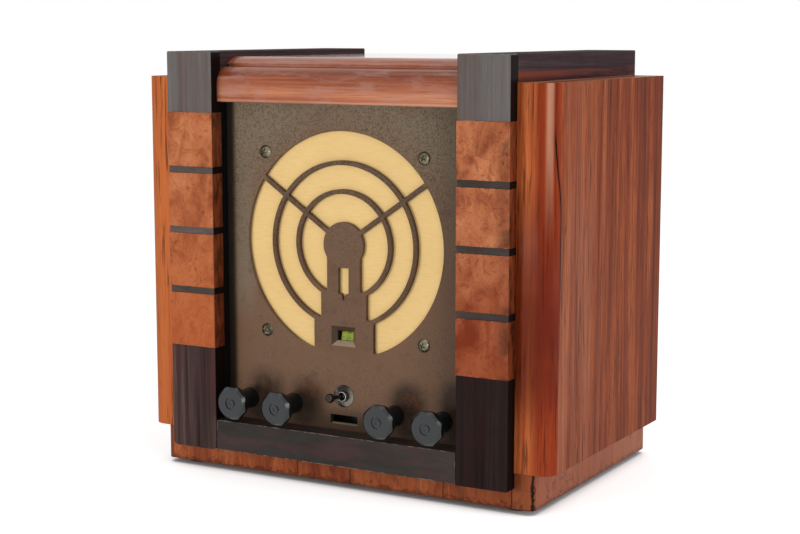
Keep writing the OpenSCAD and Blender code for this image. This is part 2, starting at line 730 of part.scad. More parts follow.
module output_transformer() color("#4c4845") translate([output_at[0], y_chassis + output_at[1], z_deck]) {
    box([-output[0] / 2, -output[1] / 4, 0], [output[0] / 2, output[1] / 4, output[2]]);
    box([-output[0] / 2 + 7, -output[1] / 2, 6], [output[0] / 2 - 7, output[1] / 2, output[2] - 6]);
}

// Waxed paper capacitors in boxes under the deck: [x, distance from the chassis front, length]
module capacitor_blocks() color("#b9a06a") for (p = block_at) translate([p[0], y_chassis + p[1], z_deck - sheet])
    box([-p[2] / 2, -16, -24], [p[2] / 2, 16, 0]);

// Half discs on the shaft, in cells between the frame's partitions
module vane_places() for (c = [0 : cells - 1], i = [0 : vanes - 1])
    translate([gang_x0 + sheet + c * cell + (cell - sheet) / 2 + (i - (vanes - 1) / 2) * vane_pitch, 0, 0]) children();

module capacitor_frame() color("#a3a6a8") {
    difference() {
        union() {
            box([gang_x0, y_chassis + 1, z_deck], [gang_x0 + gang_l, y_drum + gang_y, z_deck + sheet]);
            for (c = [0 : cells]) box([gang_x0 + c * cell, y_chassis + 1, z_deck],
                [gang_x0 + c * cell + sheet, y_drum + gang_y, z_drum + frame_up]);
        }
        bar_x(shaft_r + run, gang_x0 - 1, gang_x0 + gang_l + 1, y_drum, z_drum);
        bar_x(shaft_r + 5, gang_x0 + sheet + 1, gang_x0 + gang_l - sheet - 1, y_drum, z_drum);
        for (z = [-rod_up, rod_up])
            bar_x(rod_r + 1, gang_x0 + sheet + 1, gang_x0 + gang_l - sheet - 1, y_drum + gang_y - rod_in, z_drum + z);
    }
    difference() {
        union() {
            box([x_wheel + bracket_at, y_chassis + 1, z_deck],
                [x_wheel + bracket_at + sheet, y_drum + rod_up, z_drum + bracket_up]);
            box([x_wheel + bracket_at, y_chassis + 1, z_deck],
                [x_wheel + 2 * bracket_at, y_drum + rod_up, z_deck + sheet]);
        }
        bar_x(shaft_r + run, x_wheel + bracket_at - 1, x_wheel + bracket_at + sheet + 1, y_drum, z_drum);
    }
}

// Fixed plates behind the shaft, carried by two rods between the frame's ends
module capacitor_stators() color("#c9cbcc") {
    for (c = [0 : cells - 1], i = [0 : vanes])
        translate([gang_x0 + sheet + c * cell + (cell - sheet) / 2 + (i - vanes / 2) * vane_pitch - vane_t / 2, 0, 0])
            along_x(0, vane_t) translate([y_drum, z_drum]) difference() {
                rect(1.5, -vane_r - 2, gang_y - 3, vane_r + 2);
                circle(8.5);
            }
    for (z = [-rod_up, rod_up])
        bar_x(rod_r, gang_x0 + sheet + lay / 3, gang_x0 + gang_l - sheet - lay / 3, y_drum + gang_y - rod_in, z_drum + z);
}

module capacitor_rotor() color("#d2d3d0") {
    bar_x(shaft_r, x_wheel - wheel_w, gang_x0 + gang_l + 4, y_drum, z_drum);
    for (c = [0 : cells - 1])
        bar_x(6, gang_x0 + sheet + c * cell + 1.2, gang_x0 + (c + 1) * cell - 1.2, y_drum, z_drum);
    vane_places() along_x(-vane_t / 2, vane_t / 2) translate([y_drum, z_drum]) intersection() {
        circle(vane_r);
        rect(-vane_r, 0, vane_r, vane_r);
    }
}

// Drum with one web, open at its left so that the lamp reaches inside
module dial_drum() color("#d8d3c4") translate([0, y_drum, z_drum]) difference() {
    union() {
        difference() {
            bar_x(drum_r - scale_t, -drum_w / 2, drum_w / 2);
            bar_x(drum_r - drum_wall, -drum_w / 2 - 1, drum_w / 2 - drum_wall);
        }
        bar_x(7, drum_w / 2 - drum_wall, drum_w / 2 + 6);
    }
    bar_x(shaft_r + 0.02, -drum_w, drum_w);
}

module dial_scale() color("#8fb23c") translate([0, y_drum, z_drum]) difference() {
    bar_x(drum_r, -drum_w / 2, drum_w / 2);
    bar_x(drum_r - scale_t, -drum_w, drum_w);
}

// Grooved wheel that the cord turns
module cord_wheel() color("#b9a06a") translate([x_wheel, y_drum, z_drum]) difference() {
    union() {
        bar_x(wheel_r - cord_r - lay, -wheel_w / 2, wheel_w / 2);
        for (s = [-1, 1]) translate([s * (wheel_w / 2 - 0.75), 0, 0]) bar_x(wheel_r + 2, -0.75, 0.75);
        bar_x(7, -wheel_w / 2, wheel_w / 2 + 4);
    }
    for (a = [0 : 60 : 300]) rotate([a, 0, 0]) bar_x(wheel_r * 0.16, -wheel_w, wheel_w, wheel_r * 0.6, 0);
    bar_x(shaft_r + 0.02, -2 * wheel_w, 2 * wheel_w);
}

// One closed cord: over the wheel, down through the deck and under the pulley
module drive_cord() color("#c7b48a") translate([x_wheel, y_drum, 0]) {
    y_off = wheel_r * cos(cord_low);
    z_off = z_drum - wheel_r * sin(cord_low);
    translate([0, 0, z_drum]) rotate([90, 0, 90]) rotate([0, 0, -cord_low])
        rotate_extrude(angle = 180 + 2 * cord_low) translate([wheel_r, 0]) circle(cord_r, $fn = 16);
    translate([0, 0, z_knob]) rotate([-90, 0, 0]) rotate_extrude(angle = 180)
        translate([pulley_r, 0]) circle(cord_r, $fn = 16);
    for (s = [-1, 1]) {
        rod([0, s * y_off, z_off], [s * pulley_r, 0, z_knob], cord_r);
        translate([0, s * y_off, z_off]) sphere(cord_r * 1.2);
        translate([s * pulley_r, 0, z_knob]) sphere(cord_r * 1.2);
    }
}

// A round bar between two points
module rod(a, b, r) {
    d = b - a;
    translate(a) rotate([0, acos(d[2] / norm(d)), atan2(d[1], d[0])]) cylinder(r = r, h = norm(d), $fn = 16);
}

// Small lamp inside the drum, on a bracket that stands on the deck
module dial_lamp() color("#e9e2c8") {
    box([-drum_w / 2 - 10, y_chassis + 1, z_deck], [-drum_w / 2 - 8.5, y_chassis + 12, z_drum - 10]);
    box([-drum_w / 2 - 10, y_drum - 25, z_drum - 14], [-drum_w / 2 - 8.5, y_drum - shaft_r - 5, z_drum + 6]);
    bar_x(4.2, -drum_w / 2 - 9, -drum_w / 2 + 3, y_drum - 20, z_drum);
    translate([-drum_wall / 2, y_drum - 20, z_drum]) sphere(4.6);
}

module on_deck(places) for (p = places) translate([p[0], y_chassis + p[1], z_deck]) children();

module valve_sockets() color("#2a211c") on_deck(valve_at) cylinder(r = base_r + 2.5, h = socket_h);
module valve_bases() color("#3a2a20") on_deck(valve_at) translate([0, 0, socket_h + lay])
    cylinder(r = base_r, h = base_h);

// Glass envelopes with a shoulder and a domed top
module valve_glasses() color("#c9d3d6") on_deck(valve_at) translate([0, 0, socket_h + base_h + 2 * lay])
    rotate_extrude() intersection() {
        union() {
            rect(0, 0, base_r - 1.5, 8);
            polygon([[0, 8], [base_r - 1.5, 8], [valve_r, 22], [valve_r, valve_h - valve_r], [0, valve_h - valve_r]]);
            translate([0, valve_h - valve_r]) circle(valve_r);
        }
        rect(0, 0, 2 * valve_r, 2 * valve_h);
    }

module chassis_cans() color("#b7babb") on_deck(can_at) {
    cylinder(r = can_r, h = can_h);
    translate([0, 0, can_h]) cylinder(r1 = can_r, r2 = can_r - 3, h = 3);
    cylinder(r = can_r + 2.5, h = 1.5);
}

module control_bodies() color("#7d7f80") for (i = [0 : 3]) difference() {
    union() {
        bar_y(control[i][0], y_chassis + sheet + lay, y_chassis + sheet + lay + control[i][1], knob_x[i], z_knob);
        bar_y(bush_r, y_chassis - bush_l, y_chassis + sheet + 1, knob_x[i], z_knob);
        translate([knob_x[i], y_chassis - 3 - lay, z_knob]) rotate([-90, 30, 0]) cylinder(r = 8, h = 3, $fn = 6);
    }
    bar_y(bush_fit, y_chassis - bush_l - 1, y_chassis + sheet + (i == 1 ? 20 : spindle_in + 1), knob_x[i], z_knob);
}

// Moulded knob: many-sided disc with a dished face, a waist and a round neck
module knob(x) color("#26282b") translate([x, knob_face, z_knob]) difference() {
    union() {
        intersection() {
            rotate([-90, 0, 0]) cylinder(r = knob_r, h = knob_disc);
            rotate([-90, 180 / knob_sides, 0]) cylinder(r = knob_r * 1.02, h = knob_disc, $fn = knob_sides);
            union() {
                rotate([-90, 0, 0]) cylinder(r1 = knob_r - 3, r2 = knob_r + 0.6, h = 3.6);
                bar_y(knob_r + 1, 3.5, knob_disc - 1.5);
                translate([0, knob_disc - 1.5, 0]) rotate([-90, 0, 0]) cylinder(r1 = knob_r + 0.1, r2 = knob_r - 1.4, h = 1.5);
            }
        }
        bar_y(neck_r - 2, knob_disc - 1, knob_disc + 3);
        bar_y(neck_r, knob_disc + 2, knob_reach - 0.6);
    }
    difference() {
        bar_y(6.2, -1, 1.1);
        bar_y(4, -2, 2);
    }
    bar_y(2, -1, 0.6);
    bar_y(spindle_r + 0.02, knob_disc - 3, knob_reach + 1);
    bar_y(spindle_r + 1.2, knob_reach - 4, knob_reach + 1);
}
module volume_knob() knob(knob_x[0]);
module tuning_knob() knob(knob_x[1]);
module wave_knob() knob(knob_x[2]);
module tone_knob() knob(knob_x[3]);

// Spindle from inside the knob to inside the control's body
module spindle(i, end) color("#b4b6b5") bar_y(spindle_r, knob_face + knob_disc - 2, end, knob_x[i], z_knob);
module volume_spindle() spindle(0, y_chassis + sheet + spindle_in);
module wave_spindle() spindle(2, y_chassis + sheet + spindle_in);
module tone_spindle() spindle(3, y_chassis + sheet + spindle_in);

// The tuning spindle carries the pulley for the cord
module tuning_spindle() color("#b4b6b5") {
    spindle(1, y_drum + 5);
    bar_y(pulley_r - cord_r - lay, y_drum - 3, y_drum + 3, knob_x[1], z_knob);
    for (s = [-1, 1]) bar_y(pulley_r + 2, y_drum + s * 3 - 0.6, y_drum + s * 3 + 0.6, knob_x[1], z_knob);
}

// Switch body behind the panel with its threaded bush, ring nut and pivot pin
module toggle_body() color("#2c2b2a") translate([0, 0, z_toggle]) {
    difference() {
        union() {
            box([-9, y_panel2 + lay, -8.6], [9, y_panel2 + 21, 8.6]);
            bar_y(bush_r, y_panel - 4, y_panel2 + 1);
            bar_y(collar_r, y_panel - 3.4, y_panel - 1 - lay);
        }
        translate([0, pivot_y, 0]) {
            sphere(pivot_r + lay);
            rotate([90, 0, 0]) cylinder(r1 = pivot_r - 0.4, r2 = pivot_r - 0.4 + 4 * tan(lever_lean), h = 4);
        }
    }
    translate([0, pivot_y, -bush_r + 0.4]) cylinder(r = pin_r, h = 2 * bush_r - 0.8);
}

module toggle_plate() color("#b9b5a8") translate([0, 0, z_toggle]) difference() {
    union() {
        bar_y(toggle_r, y_panel - 0.5, y_panel - 0.1);
        translate([0, y_panel - 0.5, 0]) rotate([90, 0, 0]) cylinder(r1 = toggle_r, r2 = toggle_r - 1.6, h = 0.5);
    }
    bar_y(bush_r + 0.1, y_panel - 3, y_panel + 1);
    for (s = [-1, 1]) translate([s * toggle_r * 0.42, 0, s * toggle_r * 0.58]) bar_y(0.9, y_panel - 3, y_panel + 1);
}

// Lever leaning to the left, with its ball, on the pin
module toggle_lever() color("#8f8b82") translate([0, pivot_y, z_toggle]) difference() {
    rotate([0, 0, -lever_lean]) {
        sphere(pivot_r);
        rotate([90, 0, 0]) cylinder(r1 = 1.7, r2 = 2.5, h = lever_l);
        translate([0, -lever_l, 0]) sphere(ball_r);
    }
    translate([0, 0, -pivot_r - 1]) cylinder(r = pin_r + run, h = 2 * pivot_r + 2);
}

module socket_places() for (s = [-1, 1]) translate([strip_at + s * socket_pitch / 2, 0, z_socket]) children();

module socket_strip() color("#4a2f1e") difference() {
    along_y(y_chassis2 + 0.1, y_chassis2 + 0.1 + strip_t) round_rect(strip_at - strip_w / 2, z_socket - strip_h2 / 2,
        strip_at + strip_w / 2, z_socket + strip_h2 / 2, 3);
    socket_places() bar_y(tube_r + run, y_chassis2 - 1, y_chassis2 + strip_t + 1);
}

module socket_tubes() color("#c9a24a") socket_places() difference() {
    union() {
        bar_y(tube_r, y_chassis2 + socket_out - socket_l, y_chassis2 + socket_out);
        bar_y(tube_r + 1.4, y_chassis2 + strip_t + 0.2, y_chassis2 + 2 * strip_t);
    }
    bar_y(socket_r, y_chassis2 + socket_out - socket_l + 2, y_chassis2 + socket_out + 1);
}

feet();
plinth();
cabinet_floor();
side_panel_left();
side_panel_right();
front_stiles();
post_heads();
post_feet();
post_blocks_left();
post_blocks_right();
post_strips();
bottom_rail();
top_moulding();
top_board();
carcass_top();
top_rails();
rear_posts();
rear_cover();
rear_cover_screws();
front_panel();
panel_screws();
speaker_cloth();
baffle_board();
speaker_basket();
speaker_cone();
speaker_magnet();
speaker_screws();
chassis();
chassis_walls();
chassis_bolts();
transformer_core();
transformer_shrouds();
output_transformer();
capacitor_blocks();
capacitor_frame();
capacitor_stators();
capacitor_rotor();
dial_drum();
dial_scale();
cord_wheel();
drive_cord();
dial_lamp();
valve_glasses();
valve_bases();
valve_sockets();
chassis_cans();
control_bodies();
volume_knob();
tuning_knob();
wave_knob();
tone_knob();
volume_spindle();
tuning_spindle();
wave_spindle();
tone_spindle();
toggle_body();
toggle_plate();
toggle_lever();
socket_strip();
socket_tubes();
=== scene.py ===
"""Dresses the table radio receiver: finishes for every piece, and the pieces that are modelled here."""
import logging
import math
from dataclasses import dataclass
from enum import Enum
from functools import reduce
from typing import Optional

import bmesh
import bpy
from mathutils import Matrix, Vector


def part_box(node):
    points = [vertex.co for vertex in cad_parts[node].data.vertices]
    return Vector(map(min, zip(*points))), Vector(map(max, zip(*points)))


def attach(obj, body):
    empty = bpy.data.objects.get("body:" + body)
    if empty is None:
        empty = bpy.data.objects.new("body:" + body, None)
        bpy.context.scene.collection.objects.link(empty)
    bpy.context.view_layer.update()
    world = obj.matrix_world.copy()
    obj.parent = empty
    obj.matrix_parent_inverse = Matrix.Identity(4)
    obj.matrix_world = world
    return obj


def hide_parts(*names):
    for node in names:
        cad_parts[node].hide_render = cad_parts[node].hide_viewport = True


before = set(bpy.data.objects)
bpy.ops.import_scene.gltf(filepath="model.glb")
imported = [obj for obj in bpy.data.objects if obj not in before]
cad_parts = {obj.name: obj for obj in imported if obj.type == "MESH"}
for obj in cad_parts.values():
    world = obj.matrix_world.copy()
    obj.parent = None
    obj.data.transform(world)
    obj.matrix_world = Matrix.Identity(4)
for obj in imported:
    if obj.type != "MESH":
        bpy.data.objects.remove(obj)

LOG = logging.getLogger("radio")
Socket = bpy.types.NodeSocket
Node = bpy.types.Node
Piece = bpy.types.Object
Colour = tuple[float, float, float]
Point = tuple[float, float, float]
Span = tuple[float, float]

PORE = 0.00012  # depth of a veneer's pores, chips and joints, in metres
ARRIS = 0.0009  # radius to which a veneered edge looks rounded
TURNED: Span = (0.6, 0.9)  # a face's direction along an axis, from aslant to turned that way
RIGHT: Span = (0.0, 0.1)  # from the set's middle to its right half, in metres
FULL_TURN = 2 * math.pi


def srgb(red: float, green: float, blue: float) -> Colour:
    """Turns a colour of 0 to 255 as the eye names it into linear light.

    Args:
        red: Red, 0 to 255.
        green: Green, 0 to 255.
        blue: Blue, 0 to 255.

    Returns:
        The linear colour.
    """
    def linear(value: float) -> float:
        """Linear light of one channel."""
        part = value / 255
        return part / 12.92 if part <= 0.04045 else ((part + 0.055) / 1.055) ** 2.4

    return linear(red), linear(green), linear(blue)


def toned(colour: Colour, by: float) -> Colour:
    """The colour made darker or lighter."""
    return tuple(channel * by for channel in colour)


class Grain(Enum):
    """The direction in which a veneer's grain runs."""

    ACROSS = "X"
    INWARD = "Y"
    UPRIGHT = "Z"

    def drawn(self, scale: float, along: float) -> Point:
        """A pattern's scale on each axis, times a factor along the grain."""
        return tuple(scale * (along if axis == self.value else 1.0) for axis in "XYZ")


class Graph:
    """The node tree of one finish, on the piece's own coordinates, with its colour and height so far."""

    def __init__(self, name: str) -> None:
        """Starts a material with its shader.

        Args:
            name: The finish's name.
        """
        self.material = bpy.data.materials.new(name)
        self.material.use_nodes = True
        self.tree = self.material.node_tree
        self.tree.nodes.clear()
        self.output = self.add("OutputMaterial", {})
        self.shader = self.add("BsdfPrincipled", {})
        self.link(self.shader.outputs["BSDF"], self.output, "Surface")
        self.place: Socket = self.add("TexCoord", {}).outputs["Object"]
        self.colour: Socket | Colour = (0.5, 0.5, 0.5)
        self.height: Optional[Socket] = None

    def link(self, source: Socket, node: Node, name: str | int) -> None:
        """Joins a socket to a node's input."""
        self.tree.links.new(source, node.inputs[name])

    def feed(self, node: Node, name: str | int, value: object) -> None:
        """Sets an input, or joins it where the value is a socket.

        Args:
            node: The node that has the input.
            name: The input's name or number.
            value: A number, a colour, a vector or a socket.
        """
        if isinstance(value, Socket):
            self.link(value, node, name)
        elif isinstance(value, tuple) and node.inputs[name].type == "RGBA":
            node.inputs[name].default_value = (*value, 1.0)
        else:
            node.inputs[name].default_value = value

    def add(self, kind: str, inputs: dict[str | int, object], **settings: object) -> Node:
        """Adds a node.

        Args:
            kind: The node's kind.
            inputs: Values or sockets for its inputs, by name or number.
            **settings: Its other settings.

        Returns:
            The node.
        """
        node = self.tree.nodes.new("ShaderNode" + kind)
        for name, value in settings.items():
            setattr(node, name, value)
        for name, value in inputs.items():
            self.feed(node, name, value)
        return node

    def noise(self, scale: float | Point, detail: float = 4, rough: float = 0.55, warp: float = 0,
              shift: Optional[Point] = None, turn: Point = (0, 0, 0)) -> Socket:
        """Cloudy noise from 0 to 1, drawn out where the scale differs by axis.

        Args:
            scale: Features per metre, for all axes or for each.
            detail: Octaves.
            rough: Weight of the finer octaves.
            warp: Distortion.
            shift: Shift of the pattern.
            turn: Turn of the pattern about each axis, in radians.

        Returns:
            The factor socket.
        """
        vector = self.place
        if shift or isinstance(scale, tuple):
            each, scale = (scale, 1.0) if isinstance(scale, tuple) else ((1, 1, 1), scale)
            moved = {"Vector": vector, "Scale": each, "Rotation": turn, "Location": shift or (0, 0, 0)}
            vector = self.add("Mapping", moved).outputs["Vector"]
        return self.add("TexNoise", {"Vector": vector, "Scale": scale, "Detail": detail, "Roughness": rough,
                                     "Distortion": warp}).outputs["Fac"]

    def cells(self, scale: float, vector: Socket, feature: str) -> Socket:
        """Distance within cells, or to their edges, with so many cells to the metre."""
        return self.add("TexVoronoi", {"Vector": vector, "Scale": scale}, feature=feature).outputs["Distance"]

    def ramp(self, factor: Socket, *stops: tuple[float, Colour]) -> Socket:
        """Colours along a factor.

        Args:
            factor: The factor.
            *stops: Pairs of place and colour.

        Returns:
            The colour socket.
        """
        node = self.add("ValToRGB", {"Fac": factor})
        band = node.color_ramp
        while len(band.elements) < len(stops):
            band.elements.new(0.5)
        for element, (place, shade) in zip(band.elements, stops):
            element.position = place
            element.color = (*shade, 1)
        return node.outputs["Color"]

    def mix(self, factor: Socket | float, low: object, high: object) -> Socket:
        """Mixes two colours; the factor is the share of the second."""
        return self.add("Mix", {0: factor, 6: low, 7: high}, data_type="RGBA").outputs[2]

    def math(self, kind: str, first: object, second: object = 0.0, clamp: bool = False) -> Socket:
        """One sum on numbers, kept from 0 to 1 where it is clamped."""
        return self.add("Math", {0: first, 1: second}, operation=kind, use_clamp=clamp).outputs["Value"]

    def times(self, *parts: object) -> object:
        """The product of numbers and sockets."""
        return reduce(lambda made, part: self.math("MULTIPLY", made, part), parts)

    def plus(self, first: object, second: object) -> Socket:
        """The sum of two values."""
        return self.math("ADD", first, second)

    def minus(self, first: object, second: object) -> Socket:
        """The first value less the second."""
        return self.math("SUBTRACT", first, second)

    def size(self, value: Socket) -> Socket:
        """The value without its sign."""
        return self.math("ABSOLUTE", value)

    def larger(self, first: Socket, second: Socket) -> Socket:
        """The larger of two values."""
        return self.math("MAXIMUM", first, second)

    def some(self, factor: Socket, share: float, least: float) -> Socket:
        """A share of a factor on top of a least amount."""
        return self.plus(self.times(factor, share), least)

    def band(self, value: Socket, low: float, high: float) -> Socket:
        """Grows smoothly from 0 at low to 1 at high; low may be the larger of the two."""
        ends = (low, high, 0.0, 1.0) if low < high else (high, low, 1.0, 0.0)
        return self.add("MapRange", dict(zip(("Value", "From Min", "From Max", "To Min", "To Max"), (value, *ends))),
                        interpolation_type="SMOOTHSTEP").outputs["Result"]

    def line(self, value: Socket, place: object, wide: float, narrow: float) -> Socket:
        """1 within the narrow distance of a place, and 0 beyond the wide one."""
        return self.band(self.size(self.minus(value, place)), wide, narrow)

    def lay(self, over: object, *amounts: object) -> None:
        """Lays a colour over the finish so far, by the product of the amounts."""
        self.colour = self.mix(self.times(*amounts), self.colour, over)

    def axes(self, vector: Optional[Socket] = None) -> tuple[Socket, Socket, Socket]:
        """The three parts of a vector, by default the piece's own coordinates."""
        parts = self.add("SeparateXYZ", {"Vector": vector or self.place}).outputs
        return parts["X"], parts["Y"], parts["Z"]

    def facing(self) -> tuple[Socket, Socket, Socket]:
        """The three parts of the surface's direction, on the piece's own axes."""
        return self.axes(self.add("TexCoord", {}).outputs["Normal"])

    def sideways(self) -> Socket:
        """1 on faces that look left or right."""
        return self.band(self.size(self.facing()[0]), *TURNED)

    def vectors(self, kind: str, *parts: object) -> Node:
        """One sum on vectors; the node has its result in Vector or Value."""
        return self.add("VectorMath", dict(enumerate(parts)), operation=kind)

    def hollows(self, reach: float, samples: int, local: bool) -> Socket:
        """How open the surface lies, from 0 in a hollow to 1; a local look sees the piece alone."""
        return self.add("AmbientOcclusion", {"Distance": reach}, samples=samples, only_local=local).outputs["AO"]

    def soft_edge(self, radius: float) -> Socket:
        """A normal that is rounded over at the piece's edges."""
        return self.add("Bevel", {"Radius": radius}, samples=4).outputs["Normal"]

    def near_edge(self, radius: float) -> Socket:
        """How near an edge is, from 0 on the flat to about 1 on the edge."""
        true = self.add("NewGeometry", {}).outputs["True Normal"]
        return self.band(self.vectors("DOT_PRODUCT", self.soft_edge(radius), true).outputs["Value"], 0.995, 0.75)

    def finish(self, rough: object, depth: float = 0.0, strength: float = 0.5, radius: float = 0.0,
               **more: object) -> None:
        """Joins the colour and the height so far to the shader.

        Args:
            rough: Roughness.
            depth: Depth of the bumps in metres.
            strength: Strength of the bumps.
            radius: Radius to which the edges look rounded.
            **more: Other shader inputs, with spaces as underscores.
        """
        if depth:
            bump = self.add("Bump", {"Distance": depth, "Strength": strength, "Height": self.height})
            if radius:
                self.link(self.soft_edge(radius), bump, "Normal")
            more["Normal"] = bump.outputs["Normal"]
        for name, value in {"Base Color": self.colour, "Roughness": rough, **more}.items():
            self.feed(self.shader, name.replace("_", " "), value)


@dataclass(frozen=True)
class Finish:
    """A finish that is painted on a graph of its own."""

    name: str

    def paint(self, g: Graph) -> None:
        """Paints the finish; each kind has its own way."""

    def build(self) -> bpy.types.Material:
        """Builds the material.

        Returns:
            The material.
        """
        g = Graph(self.name)
        self.paint(g)
        return g.material


@dataclass(frozen=True)
class Veneer(Finish):
    """Polished veneer with streaks, pores and a clear coat."""

    dark: Colour
    middle: Colour
    light: Colour
    grain: Grain = Grain.UPRIGHT
    streak: float = 90.0
    long: float = 0.05
    contrast: float = 1.0
    pores: float = 0.5
    patches: float = 0.35
    rough: float = 0.32
    coat: float = 0.35
    wear_and_highlight: float = 0.0
    worn: Colour = (0.5, 0.25, 0.12)
    joints: tuple[float, ...] = ()
    lines: float = 0.0
    glow: float = 0.12
    shine: float = 0.2
    bloom_and_sheen: Optional[Colour] = None
    bloom_and_sheen_size: float = 34.0
    flank: float = 0.0
    flank_colour: Colour = (0.01, 0.006, 0.005)
    painted_shade_right: float = 0.0

    def fibre(self, g: Graph, finer: float, *look: float, shift: Point = (0, 0, 0)) -> Socket:
        """Noise along the grain, a number of times finer than the streaks."""
        return g.noise(self.grain.drawn(self.streak * finer, self.long), *look, shift=shift)

    def detail(self, g: Graph, figure: Socket) -> None:
        """Adds what only some veneers have; a plain one has nothing more."""

    def joint(self, g: Graph, place: float, beyond: Colour) -> None:
        """Cuts the joint between two leaves of veneer.

        Args:
            g: The graph to work in.
            place: The joint's X.
            beyond: Tint of the leaf to its right.
        """
        across = g.axes()[0]
        gap = g.line(across, place, 0.0007, 0.0003)
        g.lay(beyond, g.band(across, place - 0.0002, place + 0.0002), 0.18)
        g.lay(toned(self.dark, 0.2), gap)
        g.height = g.minus(g.height, gap)

    def paint(self, g: Graph) -> None:
        """Paints the streaks, lines, pores, patches, joints, detail and edge colour, in that order; a light edge colour
        is a painted highlight as well as scuffing.

        Args:
            g: The graph to work in.
        """
        board = self.fibre(g, 0.22, 2, 0.5, 0.3)
        fine = self.fibre(g, 7, 3, 0.6, 0.2)
        holes = g.band(self.fibre(g, 16, 2, 0.5), 0.36, 0.30)
        cloud = g.noise(14, 3, 0.5, 0.6)
        figure = g.plus(g.times(self.fibre(g, 1, 7, 0.62, 0.5), 0.62), g.times(board, 0.38))
        span = 0.16 * self.contrast
        g.colour = g.ramp(figure, (0.5 - span, self.dark), (0.5, self.middle), (0.5 + span, self.light))
        g.colour = g.mix(g.band(fine, 0.35, 0.68), g.mix(0.35, g.colour, self.dark), g.colour)
        if self.lines:
            year = g.math("FRACT", g.times(self.fibre(g, 0.8, 3, 0.5, 0.4, shift=(5, 2, 1)), 14))
            g.lay(toned(self.dark, 0.35), g.line(year, 0.5, 0.10, 0.02), g.band(board, 0.40, 0.60), self.lines)
        g.lay(toned(self.dark, 0.25), holes, self.pores)
        g.lay(self.dark, g.band(cloud, 0.40, 0.66), self.patches)
        # Patches of a second tint; the moulding's pale one paints streaks of sheen.
        if self.bloom_and_sheen is not None:
            bloom_and_sheen = g.noise(self.grain.drawn(self.bloom_and_sheen_size, 0.25), 4, 0.6, 0.3, (4, 9, 3))
            g.lay(self.bloom_and_sheen, g.band(bloom_and_sheen, 0.46, 0.66), 0.5)
        g.height = g.minus(g.times(fine, 0.3), holes)
        for number, place in enumerate(self.joints):
            self.joint(g, place, self.light if number % 2 else self.dark)
        self.detail(g, figure)
        # Edge colour: scuffing, and where it is light, as on the post heads and the rails, a painted highlight along
        # the edges.
        if self.wear_and_highlight:
            g.lay(self.worn, g.near_edge(0.0018), g.band(g.noise(160), 0.42, 0.62), self.wear_and_highlight)
        # Painted shade: the right half of the piece darker.
        if self.painted_shade_right:
            g.lay(toned(self.dark, 0.3), g.band(g.axes()[0], *RIGHT), self.painted_shade_right)
        if self.flank:
            g.lay(self.flank_colour, g.sideways(), self.flank)
        g.finish(g.some(cloud, 0.12, self.rough - 0.06), PORE, 0.7, ARRIS, Coat_Weight=self.coat,
                 Coat_Roughness=self.glow, Specular_IOR_Level=self.shine)


